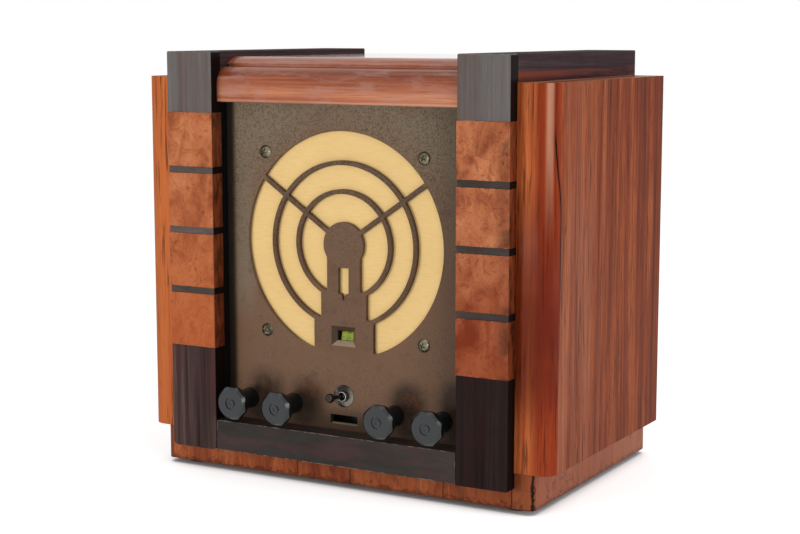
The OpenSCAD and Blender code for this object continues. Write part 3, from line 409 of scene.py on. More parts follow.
@dataclass(frozen=True)
class SideVeneer(Veneer):
    """Veneer of the side panels: orange at the front with painted light, red round the corner with painted shade and a
    painted highlight, whitened streaks, partly painted sheen, behind a crack.
    """

    front: float = 0.0
    outer: float = 0.0
    corner: float = 0.016
    lit_orange: Colour = (0.5, 0.2, 0.08)
    red: Colour = (0.3, 0.05, 0.02)
    bleached_and_sheen: Colour = (0.3, 0.15, 0.12)
    lip: Colour = (0.4, 0.28, 0.22)
    faded_and_highlight: Colour = (0.42, 0.22, 0.14)
    shade_deep: Colour = (0.11, 0.01, 0.003)
    waist_shade_top: Span = (0.33, 0.24)
    waist_shade_foot: Span = (0.075, 0.125)
    bleached_and_sheen_from: Span = (0.17, 0.02)
    highlight_front: Span = (0.0008, 0.0024)
    highlight_back: Span = (0.0072, 0.0048)
    crack_top: Span = (0.375, 0.350)
    crack_foot: Span = (0.10, 0.24)
    crack_bend: Span = (0.275, 0.36)
    crack_lean: float = 0.0085

    def detail(self, g: Graph, figure: Socket) -> None:
        """Tints the veneer by its place on the panel, with painted light, shade, highlight and sheen.

        Args:
            g: The graph to work in.
            figure: Streaks.
        """
        x, y, z = g.axes()
        out, depth = g.size(x), g.minus(y, self.front)
        side = g.band(depth, self.corner - 0.002, self.corner + 0.001)
        front, right = g.minus(1.0, side), g.band(x, *RIGHT)
        self.warm(g, figure, out, front, right)
        streak = g.band(self.fibre(g, 0.8, 4, 0.6, 0.4, shift=(1, 6, 2)), 0.44, 0.62)
        # Pale streaks on the side, strongest near the front: whitened wood and painted sheen.
        g.lay(self.bleached_and_sheen, streak, g.band(depth, *self.bleached_and_sheen_from), side, g.some(g.band(z, 0.36, 0.24), 0.3, 0.38))
        hair = g.band(self.fibre(g, 3.6, 4, 0.65, 0.2, shift=(3, 2, 8)), 0.46, 0.36)
        gate = g.band(self.fibre(g, 0.5, 2, shift=(7, 1, 4)), 0.40, 0.58)
        g.lay(toned(self.dark, 0.45), hair, g.some(gate, 0.55, 0.3), g.minus(1.0, g.times(front, 0.15)))
        # Painted highlight: a pale upright strip on the right panel's rounded corner, in its upper part.
        g.lay(self.faded_and_highlight, g.band(depth, *self.highlight_front), g.band(depth, *self.highlight_back), g.band(z, 0.25, 0.38),
              right, 0.75)
        crack = self.crack(g, depth, z, right)
        # Top faces: own grain drawn pale, partly painted sheen; their outer and front edges lighter, scuffing and a
        # painted highlight.
        upward = g.band(g.facing()[2], *TURNED)
        cap = g.noise(Grain.INWARD.drawn(self.streak, self.long), 6, 0.62, shift=(2, 5, 1))
        g.lay(g.ramp(cap, (0.36, self.dark), (0.5, self.bleached_and_sheen), (0.66, self.faded_and_highlight)), upward)
        rubbed_and_lit = g.larger(g.band(out, self.outer - 0.006, self.outer - 0.001), g.band(depth, 0.006, 0.001))
        g.lay(self.lip, upward, rubbed_and_lit, 0.7)
        g.height = g.times(g.height, g.minus(1.0, crack))

    def warm(self, g: Graph, figure: Socket, out: Socket, front: Socket, right: Socket) -> None:
        """Warms the panel's front edge, with painted light on the front faces and painted shade on the corners and the
        right one's waist.

        Args:
            g: The graph to work in.
            figure: Streaks.
            out: Distance from the set's middle.
            front: 1 on the front edge and its corner.
            right: 1 on the right panel.
        """
        shoulder = self.outer - self.corner
        flat = g.band(out, shoulder + 0.005, shoulder - 0.009)
        left = g.times(g.minus(1.0, right), front)
        fade = g.band(g.noise(9, 3, 0.6), 0.30, 0.62)
        z = g.axes()[2]
        warm = g.ramp(figure, (0.34, self.red), (0.5, self.lit_orange), (0.66, toned(self.lit_orange, 1.25)))
        # The flat front's orange, partly painted light.
        g.lay(warm, flat, g.some(fade, 0.3, 0.5))
        # Painted shade: red on the right panel's rounded corner.
        g.lay(self.red, g.minus(1.0, flat), front, right, 0.7)
        # Painted light: the left panel's front drawn lighter.
        g.lay(self.lit_orange, left, 0.5)
        # Painted shade: red on the left panel's outer corner.
        g.lay(self.red, g.band(out, self.outer - 0.0055, self.outer - 0.0015), left, 0.7)
        # Painted shade: darker red on the right panel's front and corner at middle height.
        g.lay(self.shade_deep, g.band(z, *self.waist_shade_top), g.band(z, *self.waist_shade_foot), right, g.some(fade, 0.4, 0.4),
              front)

    def crack(self, g: Graph, depth: Socket, z: Socket, right: Socket) -> Socket:
        """Draws the crack that wanders down behind the right panel's corner.

        Args:
            g: The graph to work in.
            depth: Distance from the panel's front.
            z: Height.
            right: 1 on the right panel.

        Returns:
            1 in the crack.
        """
        wander = g.times(g.minus(g.noise(24, 3), 0.5), 0.003)
        course = g.minus(self.corner + 0.0005, g.times(g.band(z, *self.crack_bend), self.crack_lean))
        apart = g.size(g.minus(g.minus(depth, course), wander))
        crack = g.times(g.band(apart, 0.0013, 0.0005), g.band(z, *self.crack_foot), g.band(z, *self.crack_top), right)
        # Painted shade: darker red beside the crack, low down.
        g.lay(self.shade_deep, g.band(apart, 0.005, 0.0), g.band(z, 0.16, 0.30), right, 0.45)
        g.lay(toned(self.dark, 0.06), crack)
        return crack


@dataclass(frozen=True)
class RailVeneer(Veneer):
    """Dark rail with a red-brown band along its foot."""

    foot: float = 0.0
    band_top: float = 0.012
    red: Colour = (0.1, 0.03, 0.02)

    def detail(self, g: Graph, figure: Socket) -> None:
        """Lays the red-brown band along the rail's foot."""
        low = g.band(g.minus(g.axes()[2], self.foot), self.band_top, self.band_top * 0.6)
        g.lay(self.red, low, g.band(figure, 0.38, 0.58))


@dataclass(frozen=True)
class MouldingVeneer(Veneer):
    """Veneer of the moulding, with a painted highlight along its foot and a dark line below that."""

    foot: float = 0.0
    foot_highlight: Colour = (0.6, 0.32, 0.2)

    def detail(self, g: Graph, figure: Socket) -> None:
        """Lays the painted highlight along the foot and the dark line.

        Args:
            g: The graph to work in.
            figure: Streaks.
        """
        up = g.minus(g.axes()[2], self.foot)
        # Painted highlight along the moulding's foot.
        g.lay(self.foot_highlight, g.band(up, 0.0036, 0.0022), g.band(figure, 0.36, 0.56), 0.6)
        g.lay(toned(self.dark, 0.4), g.line(up, 0.0, 0.0012, 0.0004), 0.5)


@dataclass(frozen=True)
class PlinthVeneer(Veneer):
    """Veneer of the plinth: blotched, darker along its foot and split near one corner."""

    foot: float = 0.0
    split: float = 0.2125
    dark_tone: Colour = (0.02, 0.01, 0.008)

    def detail(self, g: Graph, figure: Socket) -> None:
        """Adds blotches, the darker foot and the split.

        Args:
            g: The graph to work in.
            figure: Streaks; not used.
        """
        x, y, z = g.axes()
        blotch = g.band(g.noise((55, 55, 26), 5, 0.65, 0.6, (2, 7, 5)), 0.54, 0.68)
        g.lay(self.dark_tone, blotch, 0.4)
        # Darker along the foot, with a ragged edge.
        rag = g.times(g.band(g.noise(210, 5, 0.7), 0.40, 0.70), 0.007)
        g.lay(self.dark_tone, g.band(g.minus(g.minus(z, self.foot), rag), 0.0018, 0.0), 0.55)
        wander = g.times(g.minus(g.noise(150, 4, 0.7), 0.5), 0.006)
        gap = g.line(g.minus(x, self.split), wander, 0.0018, 0.0006)
        g.lay(toned(self.dark_tone, 0.3), gap, g.band(y, 0.0, -0.05))


@dataclass(frozen=True)
class Burr(Finish):
    """Burr veneer of the post blocks: faintly clouded, flecked, darker low down as painted shade, and scuffed and grimy
    at its edges.
    """

    dark: Colour
    middle: Colour
    light: Colour
    chipped: float = 0.4
    shade_deep: Colour = (0.2, 0.05, 0.02)
    low: float = 0.13
    high: float = 0.34
    soil: Optional[Span] = None
    flank: Colour = (0.13, 0.025, 0.008)

    def paint(self, g: Graph) -> None:
        """Paints the clouds, curls, painted shade low down, bruises, grime and streaked sides.

        Args:
            g: The graph to work in.
        """
        cloud = g.noise(21, 6, 0.6, 0.7)
        figure = g.noise((46, 46, 20), 5, 0.6, 1.0, turn=(0, 0.6, 0))
        speck = g.noise(700, 4, 0.7, 0.4)
        mottle = g.plus(g.times(cloud, 0.6), g.times(figure, 0.4))
        g.colour = g.ramp(mottle, (0.36, self.dark), (0.5, self.middle), (0.64, self.light))
        g.lay(self.dark, g.band(g.noise(60, 5, 0.65, 2.0, (2, 4, 1)), 0.52, 0.62), 0.45)
        # Painted shade: a darker, redder colour towards the foot of the blocks.
        shaded_lower = g.band(g.axes()[2], self.high, self.low)
        g.lay(self.shade_deep, g.math("MULTIPLY", shaded_lower, g.some(cloud, 0.7, 0.25), clamp=True))
        g.lay(self.dark, g.band(speck, 0.47, 0.36), 0.45)
        bruise = g.band(g.noise(38, 5, 0.7, shift=(3, 1, 7)), 0.60, 0.70)
        g.lay(toned(self.dark, 0.4), bruise, 0.6)
        if self.soil:
            g.lay(toned(self.dark, 0.35), g.band(g.axes()[0], *self.soil), g.band(cloud, 0.40, 0.58), 0.75)
        near, rag = g.near_edge(0.0026), g.noise(240, 5, 0.68)
        chip = g.times(near, g.band(rag, 0.52, 0.60))
        g.lay(self.light, chip, 0.7)
        g.lay(toned(self.dark, 0.2), near, g.band(rag, 0.50, 0.42), self.chipped)
        streaky = g.noise((150, 150, 40), 5, 0.68, 0.6, (6, 2, 3))
        tints = g.ramp(streaky, (0.40, toned(self.dark, 0.08)), (0.50, self.flank), (0.62, self.dark))
        g.lay(tints, g.sideways(), 0.85)
        g.height = g.minus(g.times(speck, 0.4), g.plus(chip, bruise))
        g.finish(g.some(rag, 0.25, 0.27), PORE, 0.7, ARRIS, Coat_Weight=0.06, Coat_Roughness=0.2,
                 Specular_IOR_Level=0.08)


@dataclass(frozen=True)
class Crackle(Finish):
    """Leathery crackle lacquer of the front panel, greyer and coarser towards its top."""

    brown: Colour
    grey: Colour
    soot_and_shade: Colour
    rust: Colour
    glint: Colour = (0.42, 0.32, 0.22)
    umber: Colour = (0.062, 0.026, 0.013)
    low: float = 0.20
    high: float = 0.34
    face: float = -0.1205
    middle: float = 0.245
    bars: Span = (0.116, 0.104)
    hub: Span = (0.026, 0.032)
    pillar: Span = (0.046, 0.038)
    pillar_top: Span = (0.227, 0.219)
    around: Span = (0.108, 0.150)
    grey_left: Span = (-0.096, -0.116)
    grey_above: Span = (0.150, 0.200)
    shadow_left: Span = (-0.1262, -0.1330)
    shade_right: Span = (0.06, 0.138)
    shade_foot: Span = (0.088, 0.066)
    window_top: float = 0.166
    bevel: float = 0.3
    cell: float = 380
    shove: float = 0.0020
    knob_shadows: tuple[Span, ...] = ()
    rusts: tuple[Span, ...] = ()

    def apart(self, g: Graph, place: Span) -> Socket:
        """Distance from a point of the panel at X, Z."""
        return g.vectors("DISTANCE", g.place, (place[0], self.face, place[1])).outputs["Value"]

    def spot(self, g: Graph, place: Span, reach: float) -> Socket:
        """How near a point of the panel is, from 0 at the reach to 1."""
        return g.band(self.apart(g, place), reach, 0.15 * reach)

    def ground(self, g: Graph, rise: Socket, cloud: Socket) -> None:
        """Paints the ground: grey at the top and the left, brown below, umber bars.

        Args:
            g: The graph to work in.
            rise: From 0 low on the panel to 1 at its top.
            cloud: Clouds.
        """
        x, _, z = g.axes()
        centre = self.apart(g, (0.0, self.middle))
        greyer = g.math("MULTIPLY", rise, g.plus(g.band(cloud, 0.30, 0.62), 0.45), clamp=True)
        greyer = g.times(greyer, g.some(g.band(centre, *self.around), 0.75, 0.25))
        left = g.times(g.band(x, *self.grey_left), g.band(z, *self.grey_above), 0.8)
        g.colour = g.mix(g.larger(greyer, left), self.brown, self.grey)
        pillar = g.times(g.band(g.size(x), *self.pillar), g.band(z, *self.pillar_top))
        grille = g.band(centre, *self.bars)
        g.lay(self.soot_and_shade, grille, 0.14)
        g.lay(self.umber, g.band(centre, *self.hub), grille, g.minus(1.0, pillar), 0.5)

    def dirt_and_shade(self, g: Graph, cloud: Socket) -> None:
        """Lays the flecks and smudges, painted shade on the borders, painted shadows of the knobs, and painted light
        and shade on the windows' bevels.

        Args:
            g: The graph to work in.
            cloud: Clouds.
        """
        x, _, z = g.axes()
        g.lay(self.grey, g.band(g.noise(900, 3, 0.7), 0.56, 0.66), 0.20)
        g.lay(self.soot_and_shade, g.band(g.noise(70, 6, 0.7), 0.52, 0.72), 0.25)
        g.lay(self.soot_and_shade, g.band(x, *self.shade_right), 0.45)
        # Painted shadow of the left post along the panel's left edge.
        g.lay(toned(self.soot_and_shade, 0.3), g.band(x, *self.shadow_left), 0.9)
        g.lay(self.soot_and_shade, g.band(z, *self.shade_foot), 0.75)
        across, _, up = g.facing()
        below = g.band(z, self.window_top + 0.002, self.window_top)
        g.lay(self.glint, g.band(up, self.bevel, 2 * self.bevel), below, 0.6)
        hood = g.larger(g.band(up, -self.bevel, -2 * self.bevel), g.band(across, self.bevel, 2 * self.bevel))
        g.lay(self.soot_and_shade, hood, below, 0.6)
        # Painted shadows of the knobs, above and to the right of each.
        for place in self.knob_shadows:
            ragged = g.plus(g.band(cloud, 0.3, 0.6), 0.45)
            g.lay(self.soot_and_shade, g.math("MULTIPLY", self.spot(g, place, 0.030), ragged, clamp=True), 0.85)
        for place in self.rusts:
            g.lay(self.rust, self.spot(g, place, 0.016), g.band(g.noise(330, 6, 0.75), 0.47, 0.56), 0.6)

    def paint(self, g: Graph) -> None:
        """Paints the ground, the crackle, and the flecks, smudges, painted shade and shadows.

        Args:
            g: The graph to work in.
        """
        rise = g.band(g.axes()[2], self.low, self.high)
        cloud = g.noise(20, 5, 0.6, 0.5)
        self.ground(g, rise, cloud)
        shove = g.add("TexNoise", {"Vector": g.place, "Scale": 420}).outputs["Color"]
        warped = g.vectors("MULTIPLY_ADD", shove, (self.shove,) * 3, g.place).outputs["Vector"]
        crack = g.band(g.cells(self.cell, warped, "DISTANCE_TO_EDGE"), 0.17, 0.02)
        crack = g.times(crack, g.band(g.noise(240, 3, 0.6), 0.38, 0.58))
        pebble = g.band(g.cells(self.cell, warped, "F1"), 0.75, 0.10)
        patch = g.band(g.noise(30, 4, 0.6), 0.36, 0.62)
        amount = g.math("ADD", g.times(rise, 0.6), g.times(patch, 0.3), clamp=True)
        g.lay(toned(self.grey, 1.35), pebble, amount, 0.45)
        g.lay(self.soot_and_shade, crack, amount, 0.55)
        self.dirt_and_shade(g, cloud)
        g.height = g.times(g.minus(g.times(pebble, 0.9), crack), g.plus(amount, 0.25))
        g.finish(g.some(cloud, 0.2, 0.34), 0.00022, 0.8, 0.0006, Specular_IOR_Level=0.2)


@dataclass(frozen=True)
class Weave(Finish):
    """Plain weave with a slub along its level threads."""

    warp: Colour
    weft: Colour
    aged: Colour = (0.84, 0.78, 0.66)
    pitch: float = 0.0007

    def paint(self, g: Graph) -> None:
        """Paints the threads, the slub and the clouds of age.

        Args:
            g: The graph to work in.
        """
        x, _, z = g.axes()
        waves = [g.math("SINE", g.times(part, math.pi / self.pitch)) for part in (x, z)]
        g.colour = g.mix(g.band(g.times(*waves), -0.15, 0.15), self.warp, self.weft)
        g.lay(toned(self.weft, 0.86), g.band(g.noise((60, 60, 900), 3, 0.6), 0.40, 0.66), 0.35)
        browned = tuple(first * second for first, second in zip(self.warp, self.aged))
        g.lay(browned, g.band(g.noise(9, 3), 0.42, 0.70), 0.22)
        g.height = g.plus(*(g.times(g.size(wave), 0.5) for wave in waves))
        g.finish(0.82, PORE, 0.6, Sheen_Weight=0.15, Sheen_Roughness=0.5)


@dataclass(frozen=True)
class Moulded(Finish):
    """Moulded plastic with a skin, swirls and flecks of dust."""

    colour: Colour
    dust: Colour
    rough: float = 0.3
    coat: float = 0.3
    dusty: float = 0.35
    rim: float = 0.0
    grit: float = 0.00003
    shine: float = 0.5

    def paint(self, g: Graph) -> None:
        """Paints the swirls, the dust and the rims, scuffed and with a painted highlight.

        Args:
            g: The graph to work in.
        """
        swirl, g.height = g.noise(60, 5, 0.6, 1.5), g.noise(900, 3, 0.7)
        g.colour = g.mix(g.band(swirl, 0.35, 0.7), self.colour, toned(self.colour, 1.35))
        g.lay(self.dust, g.band(g.height, 0.56, 0.70), self.dusty)
        # Light rims: scuffing and a painted highlight.
        if self.rim:
            g.lay(toned(self.dust, 5), g.near_edge(0.0009), g.band(g.noise(300, 4, 0.7), 0.48, 0.60), self.rim)
        g.finish(g.some(swirl, 0.16, self.rough - 0.08), self.grit, radius=0.0006, Coat_Weight=self.coat,
                 Coat_Roughness=0.18, Specular_IOR_Level=self.shine)


@dataclass(frozen=True)
class Metal(Finish):
    """Bare or plated metal with a lay, tarnish and spots."""

    colour: Colour
    tarnish: Colour
    rough: float = 0.35
    aged: float = 0.4
    lay: Point = (1, 1, 1)
    metallic: float = 1.0
    hollow_dark: float = 0.0

    def paint(self, g: Graph) -> None:
        """Paints the tarnish, the spots and the darkening in the hollows.

        Args:
            g: The graph to work in.
        """
        age = g.times(g.band(g.noise(55, 6, 0.62, 0.5), 0.38, 0.66), self.aged)
        g.height = g.noise(toned(self.lay, 600), 3, 0.6)
        g.colour = g.mix(age, self.colour, self.tarnish)
        g.lay(toned(self.tarnish, 0.4), g.band(g.noise(420, 4, 0.7), 0.60, 0.70), self.aged)
        # Darker in the hollows.
        if self.hollow_dark:
            g.lay(toned(self.tarnish, 0.15), g.band(g.hollows(0.003, 6, True), 0.95, 0.55), self.hollow_dark)
        rough = g.plus(g.times(age, 0.35), g.some(g.height, 0.12, self.rough - 0.06))
        g.finish(rough, 0.00002, radius=0.0004, Metallic=self.metallic)


@dataclass(frozen=True)
class Board(Finish):
    """Fibre board, paper or plain timber: matt, flecked and a little stained."""

    light: Colour
    dark: Colour
    stretch: Point = (1, 1, 1)
    fleck: float = 260.0
    rough: float = 0.8

    def paint(self, g: Graph) -> None:
        """Paints the fibres and the stains.

        Args:
            g: The graph to work in.
        """
        g.height = g.noise(toned(self.stretch, self.fleck), 5, 0.65)
        g.colour = g.mix(g.band(g.height, 0.34, 0.66), self.dark, self.light)
        g.lay(self.dark, g.band(g.noise(11, 4, 0.6, 0.5), 0.45, 0.70), 0.4)
        g.finish(self.rough, 0.00010, radius=0.0005)


@dataclass(frozen=True)
class Glass(Finish):
    """Valve glass, silvered by the getter near its top."""

    tint: Colour
    silver: Colour
    low: float
    high: float

    def paint(self, g: Graph) -> None:
        """Paints the silvering on clear glass.

        Args:
            g: The graph to work in.
        """
        mirror = g.times(g.band(g.axes()[2], self.low, self.high), g.band(g.noise(60, 3), 0.20, 0.42))
        g.colour = g.mix(mirror, self.tint, self.silver)
        g.finish(0.06, IOR=1.5, Metallic=mirror, Transmission_Weight=g.math("SUBTRACT", 0.93, mirror, clamp=True))


@dataclass(frozen=True)
class DialFilm(Finish):
    """Lit film round the drum: long and short division lines at even angles."""

    glow: Colour
    ink: Colour
    y: float
    z: float
    step: float = 10.0
    parts: int = 5
    start: float = 40.5
    long_end: float = -0.0030
    short_end: float = -0.0052
    strength: float = 0.10

    def division(self, g: Graph, steps: Socket, wide: Span, end: float) -> Socket:
        """Lines round the drum from its left edge to an end, one at each whole step."""
        mark = g.line(g.math("FRACT", g.plus(steps, self.start)), 0.5, *wide)
        return g.times(mark, g.band(g.axes()[0], end, end - 0.0002))

    def paint(self, g: Graph) -> None:
        """Paints the film and its lines.

        Args:
            g: The graph to work in.
        """
        _, y, z = g.axes()
        angle = g.math("ARCTAN2", g.minus(z, self.z), g.minus(y, self.y))
        steps = g.times(angle, 180 / math.pi / self.step)
        marks = g.larger(self.division(g, steps, (0.045, 0.026), self.long_end),
                         self.division(g, g.times(steps, self.parts), (0.12, 0.07), self.short_end))
        film = g.mix(g.band(g.noise(160, 4, 0.6), 0.35, 0.65), self.glow, toned(self.glow, 0.7))
        g.colour = g.mix(marks, film, self.ink)
        # The emission paints the dial lamp's light shining through the film.
        g.finish(0.4, Emission_Color=g.colour, Emission_Strength=self.strength)


def dress(finish: Finish, *nodes: str) -> None:
    """Gives carried-over pieces a finish.

    Args:
        finish: The finish.
        *nodes: Names of the pieces.
    """
    material = finish.build()
    for name in nodes:
        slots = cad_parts[name].data.materials
        if not slots:
            slots.append(material)
        for number in range(len(slots)):
            slots[number] = material
        LOG.info("%s dressed in %s", name, material.name)


def clear_selection() -> None:
    """Leaves nothing selected, so that the next operator acts on its own piece."""
    if bpy.context.object and bpy.context.object.mode != "OBJECT":
        bpy.ops.object.mode_set(mode="OBJECT")
    bpy.ops.object.select_all(action="DESELECT")


def take(piece: Piece) -> None:
    """Selects one piece alone, and makes it the one that operators act on.

    Args:
        piece: The piece.
    """
    clear_selection()
    piece.select_set(True)
    bpy.context.view_layer.objects.active = piece


def settle(piece: Piece) -> None:
    """Moves a piece's place, turn and scale into its mesh."""
    take(piece)
    bpy.ops.object.transform_apply(location=True, rotation=True, scale=True)


def coat(piece: Piece, finish: Finish) -> None:
    """Gives a piece that is modelled here its finish."""
    piece.data.materials.clear()
    piece.data.materials.append(finish.build())


def thicken(piece: Piece, wall: float) -> None:
    """Gives a sheet its thickness, half on each side.

    Args:
        piece: The sheet.
        wall: Thickness in metres.
    """
    take(piece)
    solid = piece.modifiers.new("thickness", "SOLIDIFY")
    solid.thickness = wall
    solid.offset = 0
    bpy.ops.object.modifier_apply(modifier=solid.name)


@dataclass
class Cabinet:
    """The wooden case, its posts, rails, plinth and back."""

    def dress(self) -> None:
        """Gives each piece of the case its veneer."""
        low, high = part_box("side_panel_right")
        dress(SideVeneer("side_veneer", srgb(90, 38, 20), srgb(142, 64, 30), srgb(184, 100, 54), streak=105, long=0.03,
                         contrast=0.8, pores=0.8, patches=0.15, rough=0.34, coat=0.16, glow=0.10, shine=0.0, lines=0.8,
                         front=low[1], outer=high[0], lit_orange=srgb(214, 118, 62), red=srgb(152, 50, 18),
                         bleached_and_sheen=srgb(158, 102, 80), lip=srgb(190, 158, 134), faded_and_highlight=srgb(196, 142, 112),
                         shade_deep=srgb(94, 24, 8)), "side_panel_left", "side_panel_right")
        dress(Burr("burr_veneer_left", srgb(130, 64, 36), srgb(182, 106, 66), srgb(202, 132, 88),
                   shade_deep=srgb(172, 80, 32)), "post_blocks_left")
        # The right blocks' darker colours are partly painted shade.
        dress(Burr("burr_veneer_right", srgb(116, 52, 28), srgb(182, 108, 70), srgb(212, 140, 94), 0.8,
                   srgb(126, 36, 2), soil=(0.176, 0.194)), "post_blocks_right")
        self.ebonise()
        # The moulding's pale patches paint grey sheen streaks, and the light line along its foot is a painted
        # highlight.
        dress(MouldingVeneer("moulding_veneer", srgb(122, 58, 36), srgb(184, 106, 72), srgb(212, 142, 104),
                             grain=Grain.ACROSS, streak=120, long=0.03, contrast=0.9, pores=0.35, patches=0.15,
                             rough=0.36, coat=0.40, wear_and_highlight=0.45, worn=srgb(60, 24, 16), shine=0.1, glow=0.22,
                             bloom_and_sheen=srgb(172, 126, 112), bloom_and_sheen_size=90, foot=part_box("top_moulding")[0][2],
                             foot_highlight=srgb(212, 156, 126)), "top_moulding")
        dress(Veneer("top_veneer", srgb(96, 44, 28), srgb(150, 84, 54), srgb(184, 116, 80), grain=Grain.ACROSS,
                     streak=90, long=0.04, contrast=0.9, pores=0.3, patches=0.3, rough=0.25, coat=0.9, glow=0.06),
              "top_board")
        dress(PlinthVeneer("plinth_veneer", srgb(96, 40, 20), srgb(160, 80, 44), srgb(186, 108, 66), streak=100,
                           long=0.12, contrast=0.95, pores=0.5, patches=0.3, rough=0.40, coat=0.03, wear_and_highlight=0.8,
                           worn=srgb(60, 34, 24), joints=(-0.0505, 0.0125, 0.118, 0.192), shine=0.1, lines=0.4,
                           foot=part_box("plinth")[0][2], dark_tone=srgb(54, 26, 16)), "plinth")
        self.dress_inside()

    def ebonise(self) -> None:
        """Gives the dark parts of the posts and the rails their veneer."""
        head = {"streak": 130, "long": 0.02, "pores": 0.3, "wear_and_highlight": 0.5, "shine": 0.0, "flank": 1.0}
        strip = {"grain": Grain.ACROSS, "streak": 36, "long": 0.3, "contrast": 0.8, "pores": 0.2, "rough": 0.36,
                 "coat": 0.03}
        # Heads and feet are one ebonised wood: the heads drawn greyer and lighter as painted sheen, with a light edge
        # colour that paints highlight lines; the feet and strips get painted shade on their right half.
        dress(Veneer("ebonised_head_painted_sheen", srgb(98, 72, 62), srgb(105, 103, 102), srgb(124, 123, 123), contrast=1.5,
                     patches=0.1, rough=0.28, coat=0.10, worn=srgb(190, 180, 170), **head), "post_heads")
        dress(Veneer("ebonised_foot", srgb(44, 32, 32), srgb(78, 62, 58), srgb(106, 80, 76), contrast=0.9,
                     patches=0.2, rough=0.34, coat=0.05, worn=srgb(140, 116, 100), bloom_and_sheen=srgb(84, 44, 46),
                     painted_shade_right=0.72, **head), "post_feet", "rear_posts")
        dress(Veneer("ebonised_across", srgb(72, 62, 58), srgb(94, 84, 80), srgb(112, 98, 94), patches=0.3, wear_and_highlight=0.6,
                     worn=srgb(150, 130, 112), shine=0.0, flank=0.97, painted_shade_right=0.45, **strip), "post_strips")
        # The sill's light edge colour paints a highlight along its top edge, together with its scuffing.
        dress(Veneer("ebonised_sill", srgb(38, 33, 31), srgb(52, 47, 43), srgb(66, 56, 52), patches=0.2, wear_and_highlight=1.0,
                     worn=srgb(168, 150, 128), shine=0.15, bloom_and_sheen=srgb(76, 46, 48), bloom_and_sheen_size=60, **strip),
              "bottom_rail")
        dress(RailVeneer("ebonised_inward", srgb(44, 32, 36), srgb(74, 58, 62), srgb(104, 78, 80), grain=Grain.INWARD,
                         streak=70, long=0.03, contrast=1.0, pores=0.3, patches=0.3, rough=0.30, coat=0.06, wear_and_highlight=0.4,
                         worn=srgb(140, 112, 96), shine=0.0, foot=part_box("top_rails")[0][2], red=srgb(126, 60, 42)),
              "top_rails")

    def dress_inside(self) -> None:
        """Gives the boards inside and behind, the feet and the screws their finishes."""
        across = (0.04, 1, 1)
        dress(Moulded("black_stain", srgb(8, 6, 6), srgb(20, 17, 15), 0.8, 0.0, 0.1, shine=0.1), "front_stiles")
        dress(Board("plain_timber", srgb(196, 160, 112), srgb(150, 112, 70), across, 300, 0.7), "cabinet_floor",
              "carcass_top")
        # Painted shade: the baffle drawn dark so that the inside looks dark through the openings.
        dress(Board("dark_board_painted_shade", srgb(58, 44, 34), srgb(34, 25, 19), across, 300, 0.75), "baffle_board")
        dress(Board("back_board", srgb(132, 98, 64), srgb(86, 60, 38), fleck=500), "rear_cover")
        dress(Board("pad_felt", srgb(54, 50, 46), srgb(30, 28, 26), fleck=900, rough=0.95), "feet")
        dress(Metal("zinc_screw", srgb(150, 146, 136), srgb(88, 78, 62)), "rear_cover_screws", "speaker_screws",
              "chassis_bolts")


@dataclass
class Front:
    """The pierced panel with its screws, and the cloth behind it, which leaves the dial free at its foot."""

    rise: float = 0.245
    reach: float = 0.118
    face: float = -0.1160
    thick: float = 0.0006
    notch: float = 0.0192
    notch_top: float = 0.173
    corners: int = 128

    def dress(self) -> None:
        """Gives the panel and its screws their finish."""
        # The first list of points places the painted shadows of the knobs; the second places rust.
        dress(Crackle("crackle_lacquer", srgb(113, 84, 64), srgb(122, 107, 88), srgb(42, 31, 23), srgb(104, 58, 36),
                      knob_shadows=((-0.093, 0.092), (-0.040, 0.088), (0.074, 0.093), (0.126, 0.100)),
                      rusts=((-0.040, 0.096), (0.078, 0.094))), "front_panel")
        dress(Metal("bronzed_screw", srgb(128, 122, 100), srgb(32, 28, 20), 0.22, 0.95, hollow_dark=1.0), "panel_screws")

    def cloth(self) -> Piece:
        """Makes the stretched cloth behind the grille.

        Returns:
            The cloth.
        """
        clear_selection()
        bpy.ops.mesh.primitive_circle_add(vertices=self.corners, radius=self.reach, fill_type="NGON",
                                          location=(0, self.face, self.rise), rotation=(math.pi / 2, 0, 0))
        piece = bpy.context.object
        piece.name = "grille_cloth"
        settle(piece)
        bpy.ops.object.mode_set(mode="EDIT")
        for place, normal in (((-self.notch, 0, 0), (1, 0, 0)), ((self.notch, 0, 0), (1, 0, 0)),
                              ((0, 0, self.notch_top), (0, 0, 1))):
            bpy.ops.mesh.select_all(action="SELECT")
            bpy.ops.mesh.bisect(plane_co=place, plane_no=normal)
        bpy.ops.object.mode_set(mode="OBJECT")
        mesh = bmesh.new()
        mesh.from_mesh(piece.data)
        centres = ((face, face.calc_center_median()) for face in mesh.faces)
        spare = [face for face, middle in centres if abs(middle.x) < self.notch and middle.z < self.notch_top]
        bmesh.ops.delete(mesh, geom=spare, context="FACES")
        bmesh.ops.triangulate(mesh, faces=mesh.faces)
        mesh.to_mesh(piece.data)
        mesh.free()
        thicken(piece, self.thick)
        piece.data.transform(Matrix.Translation((0, self.thick / 2, 0)))
        coat(piece, Weave("grille_weave", srgb(246, 212, 148), srgb(238, 198, 128)))
        return piece

    def build(self) -> None:
        """Makes and places the cloth."""
        cloth = self.cloth()
        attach(cloth, "cabinet")
        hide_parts("speaker_cloth")
        LOG.info("grille cloth made")


